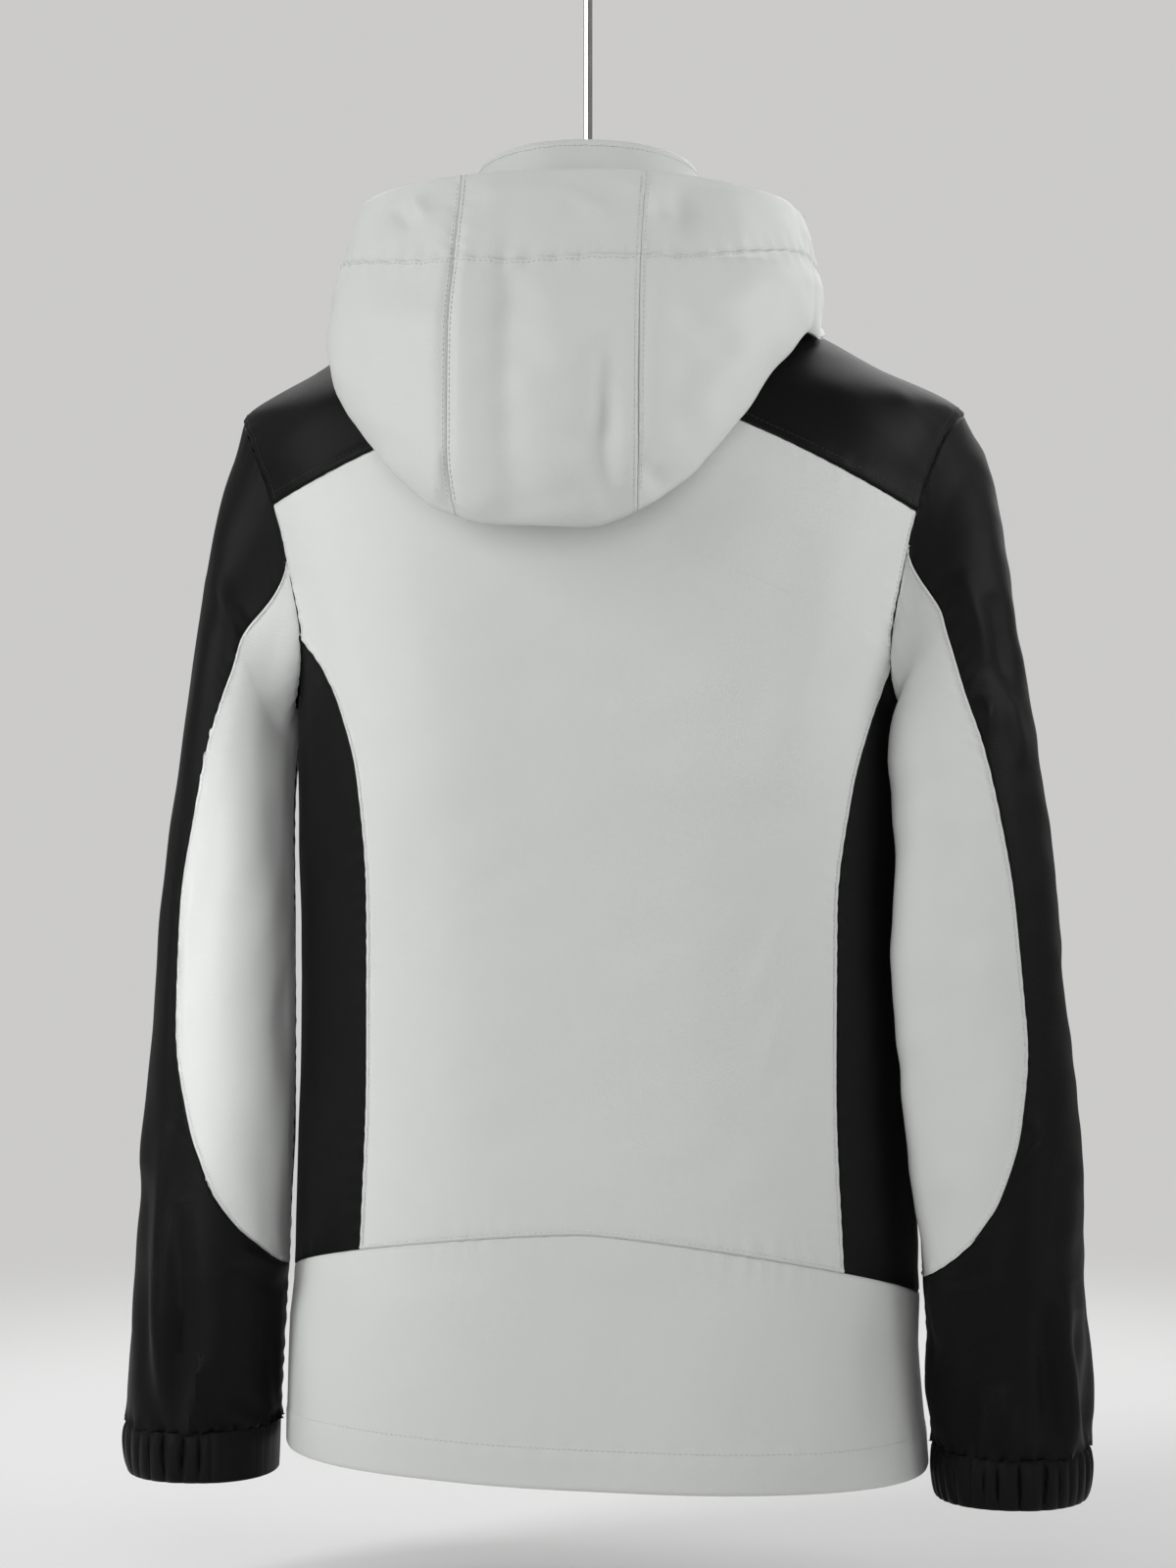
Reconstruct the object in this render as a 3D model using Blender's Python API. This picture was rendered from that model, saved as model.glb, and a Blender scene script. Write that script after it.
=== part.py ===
"""A hooded three-in-one waterproof jacket, filled out and hung on a steel rod with hanger arms.

The wearer's front faces -Y, the wearer's left is +X, and the origin is where the hook hangs.
Every cloth piece is a wall of its own, cut from one torso, sleeve, collar or hood surface.
"""
import math

import bpy
import numpy as np
from mathutils import Matrix

# Driving sizes, in metres. Heights are measured from the level of the elbows.
HANG_HEIGHT = 0.5350
GAP = 0.0003
BODY_WALL = 0.0018
SLEEVE_WALL = 0.0016
HOOD_WALL = 0.0015
CUFF_WALL = 0.0024

HEM_HEIGHT = -0.407
ARMHOLE_TOP = 0.222
ARMHOLE_BOTTOM = 0.040
ARMHOLE_BACK = 0.072
ARMHOLE_FRONT = 0.066
ARMHOLE_POWER = 2.6
ARMHOLE_EASE = 0.0006
UNDERARM_EASE = 0.0020
YOKE_CELLS = 10
BACK_CELLS = 3
SIDE_CELLS = 9
FRONT_CELLS = 7
YOKE_CORNER = 0.163
YOKE_PEAK = 0.247
YOKE_BOW = 0.002
SIDE_TIP = 0.085
SHOULDER_SEAM_FRONT = 0.214
SHOULDER_SEAM_ANGLE = math.radians(112)
SIDE_FRONT_ANGLE = math.radians(118)
NECK_HEIGHT = 0.305
NECK_FRONT_DROP = 0.036
BODY_LEAN = 0.030
HEM_SEAM_TOP = -0.2598
HEM_SEAM_DROP = 0.0425
HEM_SEAM_REACH = math.radians(88)
ZIP_WIDTH = 0.0100

COLLAR_TOP_BACK = 0.383
COLLAR_TOP_FRONT = 0.366
COLLAR_TOP_HALF = (0.0655, 0.0625)
COLLAR_TOP_MIDDLE = -0.002
COLLAR_BULGE = 0.003

CUFF_TOP = -0.4040
CUFF_BOTTOM = -0.4340
SLEEVE_SHIFT = -0.010
LEAF_SEAM_ANGLE = math.radians(190)
SLEEVE_POWER = 0.92
TUCK_START = 0.030
TUCK_DEPTH = 0.045
LIFT_START = 7.5
CUFF_LIFT = {1: 0.0140, -1: 0.0078}
CUFF_GATHERS = 30
CUFF_POINTS = 120
CUFF_WAVE = 0.0011
CUFF_TAPER = 0.0010

HOOD_TURN = math.radians(2.5)
ROD_RADIUS = 0.0027
HOOK_RADIUS = 0.0180
ARM_RADIUS = 0.0060
ARM_HALF = 0.176
ARM_SLOPE = 0.52
ARM_LEVEL_HALF = 0.05
ARM_CLEARANCE = 0.0028
ROD_FOOT = 0.305

SLIDER_RISE = 0.86
SLIDER_SIZE = (0.0080, 0.0022, 0.0090)
EYE_REACH = 0.0040
EYE_RADIUS = 0.0027
EYE_BORE = 0.0014
EYE_WIDTH = 0.0018
TAB_SIZE = (0.0070, 0.0014, 0.0230)
TAB_WINDOW = (0.0030, 0.0034)

WHITE = (0.60, 0.62, 0.62)
BLACK = (0.012, 0.012, 0.014)
STEEL = (0.55, 0.55, 0.56)


def table(columns, *rows):
    """A small table: one array for each named column."""
    return dict(zip(columns.split(), np.array(rows, float).T))


def smooth(at, knots, values):
    """The monotone cubic curve through the values at the rising knots."""
    at = np.clip(np.asarray(at, float), knots[0], knots[-1])
    steps = np.diff(knots)
    rises = np.diff(values) / steps
    product = rises[:-1] * rises[1:]
    total = rises[:-1] + rises[1:]
    slopes = np.empty(len(knots))
    slopes[1:-1] = np.where(product > 0, 2 * product / np.where(total == 0, 1, total), 0)
    slopes[0], slopes[-1] = rises[0], rises[-1]
    i = np.clip(np.searchsorted(knots, at, side="right") - 1, 0, len(steps) - 1)
    t = (at - knots[i]) / steps[i]
    return (values[i] * (1 + 2 * t) * (1 - t) ** 2 + values[i + 1] * t * t * (3 - 2 * t)
            + steps[i] * (slopes[i] * t * (1 - t) ** 2 - slopes[i + 1] * t * t * (1 - t)))


def signed_power(value, power):
    return np.sign(value) * np.abs(value) ** power


# The torso, ring by ring from the hem to the neck.
TORSO = table("height half_width back front shift power",
              (-0.407, 0.1955, 0.122, 0.118, -0.011, 2.3),
              (-0.285, 0.1900, 0.120, 0.116, -0.011, 2.3),
              (-0.100, 0.1865, 0.118, 0.115, -0.011, 2.3),
              (0.040, 0.1870, 0.128, 0.121, -0.010, 2.3),
              (0.130, 0.2070, 0.132, 0.122, -0.009, 2.3),
              (0.190, 0.2200, 0.128, 0.114, -0.009, 2.3),
              (0.210, 0.2215, 0.121, 0.108, -0.009, 2.3),
              (0.222, 0.2197, 0.115, 0.103, -0.009, 2.3),
              (0.250, 0.1730, 0.101, 0.091, -0.006, 2.2),
              (0.280, 0.1220, 0.086, 0.078, -0.003, 2.1),
              (0.305, 0.0780, 0.068, 0.068, 0.000, 2.0))

# Half-width of the back panel where each side panel's seam runs.
SIDE_SEAM = table("height left right",
                  (-0.282, 0.1375, 0.1470), (-0.170, 0.1335, 0.1425), (-0.070, 0.1335, 0.1432),
                  (0.000, 0.1385, 0.1525), (0.040, 0.1491, 0.1632), (0.065, 0.1617, 0.1723),
                  (0.085, 0.1795, 0.1795))

# A sleeve, ring by ring: its outermost and innermost points, and its depth behind and before its middle.
# The left sleeve's outer side hangs in by left_in, and the right one's back folds in behind the body.
SLEEVE = table("outer_x outer_z inner_x inner_z back front middle_y left_in right_in",
               (0.2197, 0.222, 0.1895, 0.040, 0.072, 0.066, 0.000, 0.0000, 0.000),
               (0.2345, 0.185, 0.1897, 0.030, 0.070, 0.065, 0.004, 0.0042, 0.020),
               (0.2450, 0.130, 0.1902, 0.019, 0.068, 0.064, 0.010, 0.0048, 0.033),
               (0.2525, 0.080, 0.1905, 0.006, 0.067, 0.063, 0.015, 0.0048, 0.034),
               (0.2600, 0.035, 0.1907, -0.010, 0.067, 0.063, 0.018, 0.0054, 0.031),
               (0.2670, -0.015, 0.1903, -0.034, 0.067, 0.063, 0.021, 0.0066, 0.029),
               (0.2735, -0.070, 0.1895, -0.075, 0.067, 0.064, 0.022, 0.0072, 0.030),
               (0.2800, -0.140, 0.1890, -0.140, 0.068, 0.065, 0.022, 0.0078, 0.027),
               (0.2860, -0.200, 0.1900, -0.200, 0.069, 0.066, 0.021, 0.0084, 0.020),
               (0.2910, -0.290, 0.1935, -0.290, 0.066, 0.064, 0.018, 0.0066, 0.011),
               (0.2940, -0.360, 0.1975, -0.360, 0.058, 0.057, 0.014, 0.0030, 0.005),
               (0.2930, -0.4037, 0.1995, -0.4037, 0.051, 0.050, 0.012, 0.0000, 0.000))
SLEEVE_RINGS = np.arange(len(SLEEVE["back"]), dtype=float)

# The leaf panel's outer seam, as an angle round the sleeve from its outermost line.
LEAF_SEAM = table("ring left right",
                  (0.0, 91, 85), (1.0, 95, 87), (2.0, 92, 81), (3.0, 85, 75), (4.0, 78, 69), (5.0, 72, 64),
                  (6.0, 65, 59), (7.0, 68, 58), (8.0, 84, 69), (8.45, 100, 84), (8.70, 120, 99),
                  (8.88, 144, 118), (9.0, 163, 140), (9.08, 186, 186))

# Soft folds above a cuff: where round the sleeve, how wide, and how high (below zero is a hollow).
SLEEVE_FOLDS = table("degrees width height",
                     (-62, 17, 0.0022), (-30, 14, -0.0026), (-6, 13, 0.0024), (20, 12, -0.0032),
                     (44, 13, 0.0022), (68, 12, -0.0026), (94, 15, 0.0018), (122, 16, -0.0018))

# The hood from the neck seam, down inside, round the bottom fold and up outside to the brim.
HOOD = table("along half_width back_y side_y back_z side_z seam",
             (0.00, 0.0900, 0.0735, 0.000, 0.3085, 0.3050, 0.040),
             (0.18, 0.1120, 0.1250, 0.030, 0.2300, 0.2850, 0.045),
             (0.36, 0.1330, 0.1480, 0.060, 0.1500, 0.2680, 0.049),
             (0.46, 0.1400, 0.1720, 0.072, 0.1445, 0.2640, 0.051),
             (0.60, 0.1420, 0.1930, 0.075, 0.1850, 0.2740, 0.054),
             (0.76, 0.1420, 0.1900, 0.070, 0.2500, 0.2920, 0.054),
             (0.88, 0.1370, 0.1710, 0.062, 0.3020, 0.3130, 0.053),
             (1.00, 0.1300, 0.1480, 0.054, 0.3495, 0.3415, 0.053))
HOOD_END = math.radians(180)
HOOD_NECK_SHARE = 0.915
HOOD_FLAT = 0.12
HOOD_SAG = 0.82
HOOD_SAG_LEFT = 0.17
HOOD_NECK_END = 0.18
HOOD_NECK_OFF = 0.0012
HOOD_END_OUT = 0.009
HOOD_END_RISE = 0.030


def torso(angle, height):
    """A point on the outside of the torso; the angle runs from the back's centre to the wearer's left."""
    ring = {name: smooth(height, TORSO["height"], values) for name, values in TORSO.items()}
    power = 2 / ring["power"]
    across, along = signed_power(np.sin(angle), power), signed_power(np.cos(angle), power)
    x = ring["shift"] + ring["half_width"] * across
    y = np.where(along > 0, ring["back"], ring["front"]) * along
    lean = BODY_LEAN * np.clip((0.20 - height) / 0.06, 0, 1)
    return np.stack([x, y, height + lean * ring["half_width"] * across], axis=-1)


def outward(surface, u, v):
    """Unit normals of a surface, pointing off its outside."""
    step = 1e-4
    across = surface(u + step, v) - surface(u - step, v)
    up = surface(u, v + step) - surface(u, v - step)
    normal = np.cross(up, across)
    return normal / np.linalg.norm(normal, axis=-1, keepdims=True)


def torso_angle(half_width, height):
    """The angle behind the side at which the torso's back reaches this far out."""
    widest = smooth(height, TORSO["height"], TORSO["half_width"])
    power = smooth(height, TORSO["height"], TORSO["power"])
    return np.arcsin(np.clip(half_width / widest, 0, 1) ** (power / 2))


def armhole(turn):
    """Torso angle and height round the armhole; the turn runs from its top by the back."""
    middle = (ARMHOLE_TOP + ARMHOLE_BOTTOM) / 2
    tall = (ARMHOLE_TOP - ARMHOLE_BOTTOM) / 2
    height = middle + tall * signed_power(np.cos(turn), 2 / ARMHOLE_POWER)
    reach = signed_power(np.sin(turn), 2 / ARMHOLE_POWER)
    y = np.where(reach > 0, ARMHOLE_BACK, ARMHOLE_FRONT) * reach
    depth = np.where(reach > 0, smooth(height, TORSO["height"], TORSO["back"]),
                     smooth(height, TORSO["height"], TORSO["front"]))
    power = smooth(height, TORSO["height"], TORSO["power"])
    return np.arccos(signed_power(y / depth, power / 2)), height


def armhole_turn(height, behind):
    """The turn at which the armhole passes a height, behind the sleeve or before it."""
    middle = (ARMHOLE_TOP + ARMHOLE_BOTTOM) / 2
    tall = (ARMHOLE_TOP - ARMHOLE_BOTTOM) / 2
    turn = math.acos(signed_power((height - middle) / tall, ARMHOLE_POWER / 2))
    return turn if behind else -turn


def run(start, stop, cells):
    return np.linspace(start, stop, cells + 1)


def armhole_turns():
    """The turns of the torso panels' points round the armhole, from its top by the back."""
    corner, tip = armhole_turn(YOKE_CORNER, True), armhole_turn(SIDE_TIP, True)
    front_tip, shoulder = armhole_turn(SIDE_TIP, False), armhole_turn(SHOULDER_SEAM_FRONT, False)
    circle = 2 * math.pi
    return {"yoke": run(corner, shoulder, YOKE_CELLS)[::-1], "back": run(corner, tip, BACK_CELLS),
            "side": run(tip, circle + front_tip, SIDE_CELLS),
            "front": run(circle + front_tip, circle + shoulder, FRONT_CELLS)}


def neck_height(angle):
    return NECK_HEIGHT - NECK_FRONT_DROP * ((1 - np.cos(angle)) / 2) ** 3


def hem_seam_height(angle):
    """The hem panel's top seam: it falls from the centre back to the sides, then runs level."""
    return HEM_SEAM_TOP - HEM_SEAM_DROP * np.clip(np.abs(angle) / HEM_SEAM_REACH, 0, 1) ** 1.2


def join(*runs):
    """One run of points from several that meet end to end."""
    return np.concatenate([runs[0]] + [part[1:] for part in runs[1:]])


def fill(bottom, top, left, right, fade=1):
    """A grid of points between four edges that share their corners (rows go up, columns across).

    A higher fade keeps the bends of the left and right edges nearer to those edges.
    """
    up = np.linspace(0, 1, len(left))[:, None, None]
    across = np.linspace(0, 1, len(bottom))[None, :, None]
    level = bottom[None] * (1 - up) + top[None] * up
    from_left = left[:, None] - level[:, :1]
    from_right = right[:, None] - level[:, -1:]
    return level + from_left * (1 - across) ** fade + from_right * across ** fade


def mirrored(points):
    return points * np.array([-1, 1])


def draw_in(grid, distance):
    """Moves a grid's four edges in, square to each edge, to leave the seam gap."""
    moved = grid.copy()
    for edge, inner in (((0, slice(None)), (1, slice(None))), ((-1, slice(None)), (-2, slice(None))),
                        ((slice(None), 0), (slice(None), 1)), ((slice(None), -1), (slice(None), -2))):
        tangent = np.gradient(grid[edge], axis=0)
        tangent /= np.linalg.norm(tangent, axis=-1, keepdims=True)
        step = grid[inner] - grid[edge]
        step -= np.sum(step * tangent, axis=-1, keepdims=True) * tangent
        moved[edge] += distance * step / np.linalg.norm(step, axis=-1, keepdims=True)
    return moved


def material(name, colour, roughness, metallic=0.0):
    made = bpy.data.materials.new(name)
    made.use_nodes = True
    shader = made.node_tree.nodes["Principled BSDF"]
    shader.inputs["Base Color"].default_value = (*colour, 1)
    shader.inputs["Roughness"].default_value = roughness
    shader.inputs["Metallic"].default_value = metallic
    return made


def add_mesh(name, points, faces, look):
    mesh = bpy.data.meshes.new(name)
    mesh.from_pydata([tuple(point) for point in points], [], faces)
    mesh.shade_smooth()
    mesh.set_sharp_from_angle(angle=math.radians(40))
    mesh.materials.append(look)
    made = bpy.data.objects.new(name, mesh)
    bpy.context.collection.objects.link(made)
    made.parent = hanging_point
    return made


def wall(name, outside, directions, thickness, look, ring=False):
    """A closed cloth wall: an outside grid, an inside one a thickness in, and the edges between them."""
    rows, cols = outside.shape[:2]
    points = np.concatenate([outside.reshape(-1, 3), (outside - thickness * directions).reshape(-1, 3)])
    inside = rows * cols
    faces = []
    last = cols if ring else cols - 1
    for i in range(rows - 1):
        for j in range(last):
            a, b = i * cols + j, i * cols + (j + 1) % cols
            c, d = b + cols, a + cols
            faces.append((a, d, c, b))
            faces.append((inside + a, inside + b, inside + c, inside + d))
    for j in range(last):
        k = (j + 1) % cols
        low, high = (rows - 1) * cols + j, (rows - 1) * cols + k
        faces.append((j, k, inside + k, inside + j))
        faces.append((low, inside + low, inside + high, high))
    if not ring:
        for i in range(rows - 1):
            a, b = i * cols, (i + 1) * cols
            c, d = a + cols - 1, b + cols - 1
            faces.append((a, inside + a, inside + b, b))
            faces.append((c, d, inside + d, inside + c))
    return add_mesh(name, points, faces, look)


def panel(name, surface, grid, thickness, look):
    """A wall cut from a surface over a grid of its two coordinates."""
    u, v = grid[..., 0], grid[..., 1]
    points = draw_in(surface(u, v), GAP / 2)
    return wall(name, points, outward(surface, u, v), thickness, look)


def tube(name, route, radius, look, sides=2):
    """A round bar along a route, with closed ends."""
    curve = bpy.data.curves.new(name, "CURVE")
    curve.dimensions = "3D"
    curve.bevel_depth = radius
    curve.bevel_resolution = sides
    curve.use_fill_caps = True
    spline = curve.splines.new("POLY")
    spline.points.add(len(route) - 1)
    for point, place in zip(spline.points, route):
        point.co = (*place, 1)
    curve.materials.append(look)
    made = bpy.data.objects.new(name, curve)
    bpy.context.collection.objects.link(made)
    made.parent = hanging_point
    return made


def side_seam(cells, reach):
    """The side panel's back seam from the hem panel up to the armhole."""
    tip = armhole(np.array(armhole_turn(SIDE_TIP, True)))[0]
    foot_angle = torso_angle(reach[0], SIDE_SEAM["height"][0])
    height = run(float(hem_seam_height(foot_angle)), SIDE_TIP, cells)
    angle = torso_angle(smooth(height, SIDE_SEAM["height"], reach), height)
    angle[-1] = tip
    return np.stack([angle, height], axis=-1)


def torso_panels():
    """Back panel, yoke, hem panel, side panels and fronts."""
    seams = {1: side_seam(14, SIDE_SEAM["left"]), -1: side_seam(14, SIDE_SEAM["right"])}
    edge = {name: np.stack(armhole(turns), axis=-1) for name, turns in armhole_turns().items()}

    back_edge = {side: join(seam, edge["back"][::-1]) for side, seam in seams.items()}
    corner = back_edge[1][-1]
    share = run(0, 1, 12)
    height = corner[1] + share * (YOKE_PEAK - corner[1]) + YOKE_BOW * np.sin(math.pi * share)
    widest = smooth(corner[1], TORSO["height"], TORSO["half_width"])
    power = smooth(corner[1], TORSO["height"], TORSO["power"])
    half_width = widest * math.sin(corner[0]) ** (2 / power) * (1 - share)
    chevron_left = np.stack([torso_angle(half_width, height), height], axis=-1)
    chevron_left[0] = corner
    chevron = join(mirrored(chevron_left), chevron_left[::-1])
    bottom_angle = run(-seams[-1][0, 0], seams[1][0, 0], 24)
    back_bottom = np.stack([bottom_angle, hem_seam_height(bottom_angle)], axis=-1)
    back_grid = fill(back_bottom, chevron, mirrored(back_edge[-1]), back_edge[1])
    panel("back_panel", torso, back_grid, BODY_WALL, white)

    neck_point = np.array([SHOULDER_SEAM_ANGLE, neck_height(SHOULDER_SEAM_ANGLE)])
    yoke_side = edge["yoke"][::-1]
    shoulder = yoke_side[-1] + run(0, 1, 5)[:, None] * (neck_point - yoke_side[-1])
    neck_angle = run(-SHOULDER_SEAM_ANGLE, SHOULDER_SEAM_ANGLE, 14)
    neck_back = np.stack([neck_angle, neck_height(neck_angle)], axis=-1)
    yoke_top = join(mirrored(shoulder), neck_back, shoulder[::-1])
    panel("back_yoke", torso, fill(chevron, yoke_top, mirrored(yoke_side), yoke_side, 3), BODY_WALL, black)

    side_bottom = {}
    for side, seam in seams.items():
        hem_angle = run(seam[0, 0], SIDE_FRONT_ANGLE, SIDE_CELLS)
        side_bottom[side] = np.stack([hem_angle, hem_seam_height(hem_angle)], axis=-1)
    hem_top = join(mirrored(side_bottom[-1])[::-1], back_bottom, side_bottom[1])
    hem_bottom = np.stack([hem_top[:, 0], np.full(len(hem_top), HEM_HEIGHT)], axis=-1)
    hem_end = hem_bottom[-1] + run(0, 1, 4)[:, None] * (hem_top[-1] - hem_bottom[-1])
    panel("hem_panel", torso, fill(hem_bottom, hem_top, mirrored(hem_end), hem_end), BODY_WALL, white)

    front_tip = edge["front"][0]
    rise = run(0, 1, 14)[:, None]
    seam_foot = side_bottom[1][-1]
    front_seam = seam_foot + rise * (front_tip - seam_foot)
    front_seam[:, 0] += math.radians(4) * np.sin(math.pi * rise[:, 0])
    armpit = edge["side"]
    for side, name in ((1, "side_panel_left"), (-1, "side_panel_right")):
        edges = (side_bottom[side], armpit, seams[side], front_seam)
        grid = fill(*edges) if side > 0 else mirrored(fill(*edges))[:, ::-1]
        panel(name, torso, grid, BODY_WALL, black)

    front_edge = join(hem_end, front_seam, edge["front"])
    neck_front_angle = run(SHOULDER_SEAM_ANGLE, math.pi, 6)
    neck_front = np.stack([neck_front_angle, neck_height(neck_front_angle)], axis=-1)
    front_top = join(shoulder, neck_front)
    front_bottom = np.stack([run(SIDE_FRONT_ANGLE, math.pi, 11), np.full(12, HEM_HEIGHT)], axis=-1)
    middle = front_bottom[-1] + run(0, 1, len(front_edge) - 1)[:, None] * (front_top[-1] - front_bottom[-1])
    grid = fill(front_bottom, front_top, front_edge, middle)
    grid[:, -1, 0] = math.pi - torso_angle(ZIP_WIDTH / 2, grid[:, -1, 1])
    panel("front_left", torso, grid, BODY_WALL, white)
    panel("front_right", torso, mirrored(grid)[:, ::-1], BODY_WALL, white)
    return neck_back, neck_front, grid[:, -1]


def collar_surface(angle, rise):
    """The stand collar; it runs from the neck seam to a smaller, nearly level top edge."""
    low = torso(angle, neck_height(angle))
    high = np.stack([COLLAR_TOP_HALF[0] * np.sin(angle),
                     COLLAR_TOP_MIDDLE + COLLAR_TOP_HALF[1] * np.cos(angle),
                     (COLLAR_TOP_BACK + COLLAR_TOP_FRONT) / 2
                     + (COLLAR_TOP_BACK - COLLAR_TOP_FRONT) / 2 * np.cos(angle)], axis=-1)
    rise = np.asarray(rise)[..., None]
    ease = COLLAR_BULGE * np.sin(math.pi * np.clip(rise, 0, 1))
    spread = np.stack([np.sin(angle), np.cos(angle), 0 * angle], axis=-1)
    return low * (1 - rise) + high * rise + ease * spread


def collar(neck_back, neck_front):
    angles = join(-neck_front[::-1, 0], neck_back[:, 0], neck_front[:, 0])
    rise = run(0, 1, 4)
    grid = np.stack(np.meshgrid(angles, rise), axis=-1)
    for row in grid:
        short = ZIP_WIDTH / 2 / COLLAR_TOP_HALF[0]
        for _ in range(4):
            ends = collar_surface(np.array([math.pi - short, short - math.pi]), row[:2, 1])
            short *= ZIP_WIDTH / (ends[0, 0] - ends[1, 0])
        row[0, 0], row[-1, 0] = short - math.pi, math.pi - short
    panel("collar", collar_surface, grid, BODY_WALL, white)
    return grid[:, -1]


def front_zip(front_edge, collar_edge):
    """The zip's tape and closed chain, one strip between the fronts and up the collar."""
    low, high = front_edge[:-1].T, collar_edge.T
    left = np.concatenate([torso(*low), collar_surface(*high)])
    right = np.concatenate([torso(-low[0], low[1]), collar_surface(-high[0], high[1])])
    points = np.stack([left, right], axis=1)
    points[:, 0, 0] -= GAP
    points[:, 1, 0] += GAP
    upright = np.gradient(left, axis=0)
    upright[:, 0] = 0
    facing = np.cross(upright, np.array([-1.0, 0, 0]))
    facing /= np.linalg.norm(facing, axis=-1, keepdims=True)
    facing = np.repeat(facing[:, None], 2, axis=1)
    wall("front_zip", points, facing, BODY_WALL, black)


def sleeve_surface(side, cornered):
    """A sleeve's outside over the angle from its outermost line and the ring.

    A cornered one starts on the straight edges of the torso's panels, a smooth one on the armhole's curve.
    """
    corners = np.unique(np.round(np.concatenate(list(armhole_turns().values())) % (2 * math.pi), 9))
    corners = np.append(corners, corners[0] + 2 * math.pi)
    torso_turns, torso_heights = armhole(corners)
    seam_points = torso(side * torso_turns, torso_heights)

    def place(angle, ring):
        row = {name: smooth(ring, SLEEVE_RINGS, values) for name, values in SLEEVE.items()}
        out, depth = np.cos(angle), np.sin(angle)
        fold = np.zeros(np.broadcast(angle, ring).shape)
        turn = (np.degrees(angle) + 180) % 360 - 180
        for degrees, width, height in zip(*SLEEVE_FOLDS.values()):
            fold = fold + height * np.exp(-((turn - degrees) / width) ** 2)
        fold = fold * np.clip((ring - 9.0) / 2, 0, 1) ** 1.3 * np.clip((11.25 - ring) / 0.8, 0, 1)
        mid_z = (row["outer_z"] + row["inner_z"]) / 2
        if side > 0:
            row["outer_x"] = row["outer_x"] - row["left_in"]
        half_x = (row["outer_x"] - row["inner_x"]) / 2
        mid_x = (row["outer_x"] + row["inner_x"]) / 2
        half_z = (row["outer_z"] - row["inner_z"]) / 2
        reach_y = np.where(depth > 0, row["back"], row["front"])
        bend_out, bend_depth = signed_power(out, SLEEVE_POWER), signed_power(depth, SLEEVE_POWER)
        x = mid_x + (half_x + fold) * bend_out
        y = row["middle_y"] + (reach_y + fold) * bend_depth
        z = mid_z + half_z * bend_out
        lift = np.clip((ring - LIFT_START) / (SLEEVE_RINGS[-1] - LIFT_START), 0, 1)
        z = z + CUFF_LIFT[side] * lift * lift
        if side < 0:
            behind = np.clip((y - TUCK_START) / TUCK_DEPTH, 0, 1)
            x = x - row["right_in"] * behind * behind * (3 - 2 * behind) * (1 - out) / 2
        free = np.stack([SLEEVE_SHIFT + side * x, y, z], axis=-1)
        if cornered:
            along = (angle - corners[0]) % (2 * math.pi) + corners[0]
            seam = np.stack([np.interp(along, corners, seam_points[:, axis]) for axis in range(3)], axis=-1)
        else:
            torso_turn, torso_height = armhole(angle)
            seam = torso(side * torso_turn, torso_height)
        seam[..., 0] += side * UNDERARM_EASE * np.sqrt(np.clip(-out, 0, 1))
        top = {name: values[0] for name, values in SLEEVE.items()}
        half_top = [(top["outer_" + axis] - top["inner_" + axis]) / 2 for axis in "xz"]
        start = np.stack([SLEEVE_SHIFT + side * (top["inner_x"] + half_top[0] * (1 + bend_out)),
                          np.where(depth > 0, top["back"], top["front"]) * bend_depth,
                          top["inner_z"] + half_top[1] * (1 + bend_out)], axis=-1)
        fade = np.clip(1 - ring / 1.6, 0, 1)[..., None]
        return free + (seam - start) * fade * fade * (3 - 2 * fade)
    return place


def sleeves():
    """Each sleeve's black piece and its white leaf panel, and the elastic cuff below them."""
    rings = join(run(0, 1, 2), run(1, 5, 4), run(5, 8, 3), np.array([8.0, 8.45, 8.70, 8.88, 9.0, 9.08]),
                 np.array([9.08, 9.5, 10.0, 10.5, 11.0]))
    tip = int(np.searchsorted(rings, 9.08))
    for side, name in ((1, "left"), (-1, "right")):
        outer_seam = np.radians(smooth(rings, LEAF_SEAM["ring"], LEAF_SEAM[name]))
        outer_seam[tip:] = LEAF_SEAM_ANGLE
        surface, even = sleeve_surface(side, True), sleeve_surface(side, False)
        flip = slice(None, None, -side)
        share = run(0, 1, 25)
        start = LEAF_SEAM_ANGLE - 2 * math.pi
        black_angles = start + share[None] * (outer_seam[:, None] - start)
        leaf_edge = outer_seam[:tip, None]
        white_angles = leaf_edge + run(0, 1, 9)[None] * (LEAF_SEAM_ANGLE - leaf_edge)
        for node, angles, look in (("sleeve_" + name, black_angles, black),
                                   ("sleeve_leaf_" + name, white_angles, white)):
            levels = np.repeat(rings[:len(angles), None], angles.shape[1], axis=1)
            grid = np.stack([angles, levels], axis=-1)[::-1, flip]
            u, v = grid[..., 0], grid[..., 1]
            points = draw_in(surface(u, v), GAP / 2)
            directions = side * outward(even, u, v)
            torso_turn, torso_height = armhole(u[-1])
            flat = outward(torso, side * torso_turn, torso_height)
            along = np.gradient(points[-1], axis=0)
            along /= np.linalg.norm(along, axis=-1, keepdims=True)
            leave = points[-2] - points[-1]
            leave -= np.sum(leave * along, axis=-1, keepdims=True) * along
            leave /= np.linalg.norm(leave, axis=-1, keepdims=True)
            points[-1] += ARMHOLE_EASE * leave
            convex = np.clip(0.5 - 4 * np.sum(flat * leave, axis=-1, keepdims=True), 0, 1)
            mixed = directions[-1] * (1 - convex) + flat * convex
            directions[-1] = mixed / np.linalg.norm(mixed, axis=-1, keepdims=True)
            wall(node, points, directions, SLEEVE_WALL, look)
        cuff("cuff_" + name, side)


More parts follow.
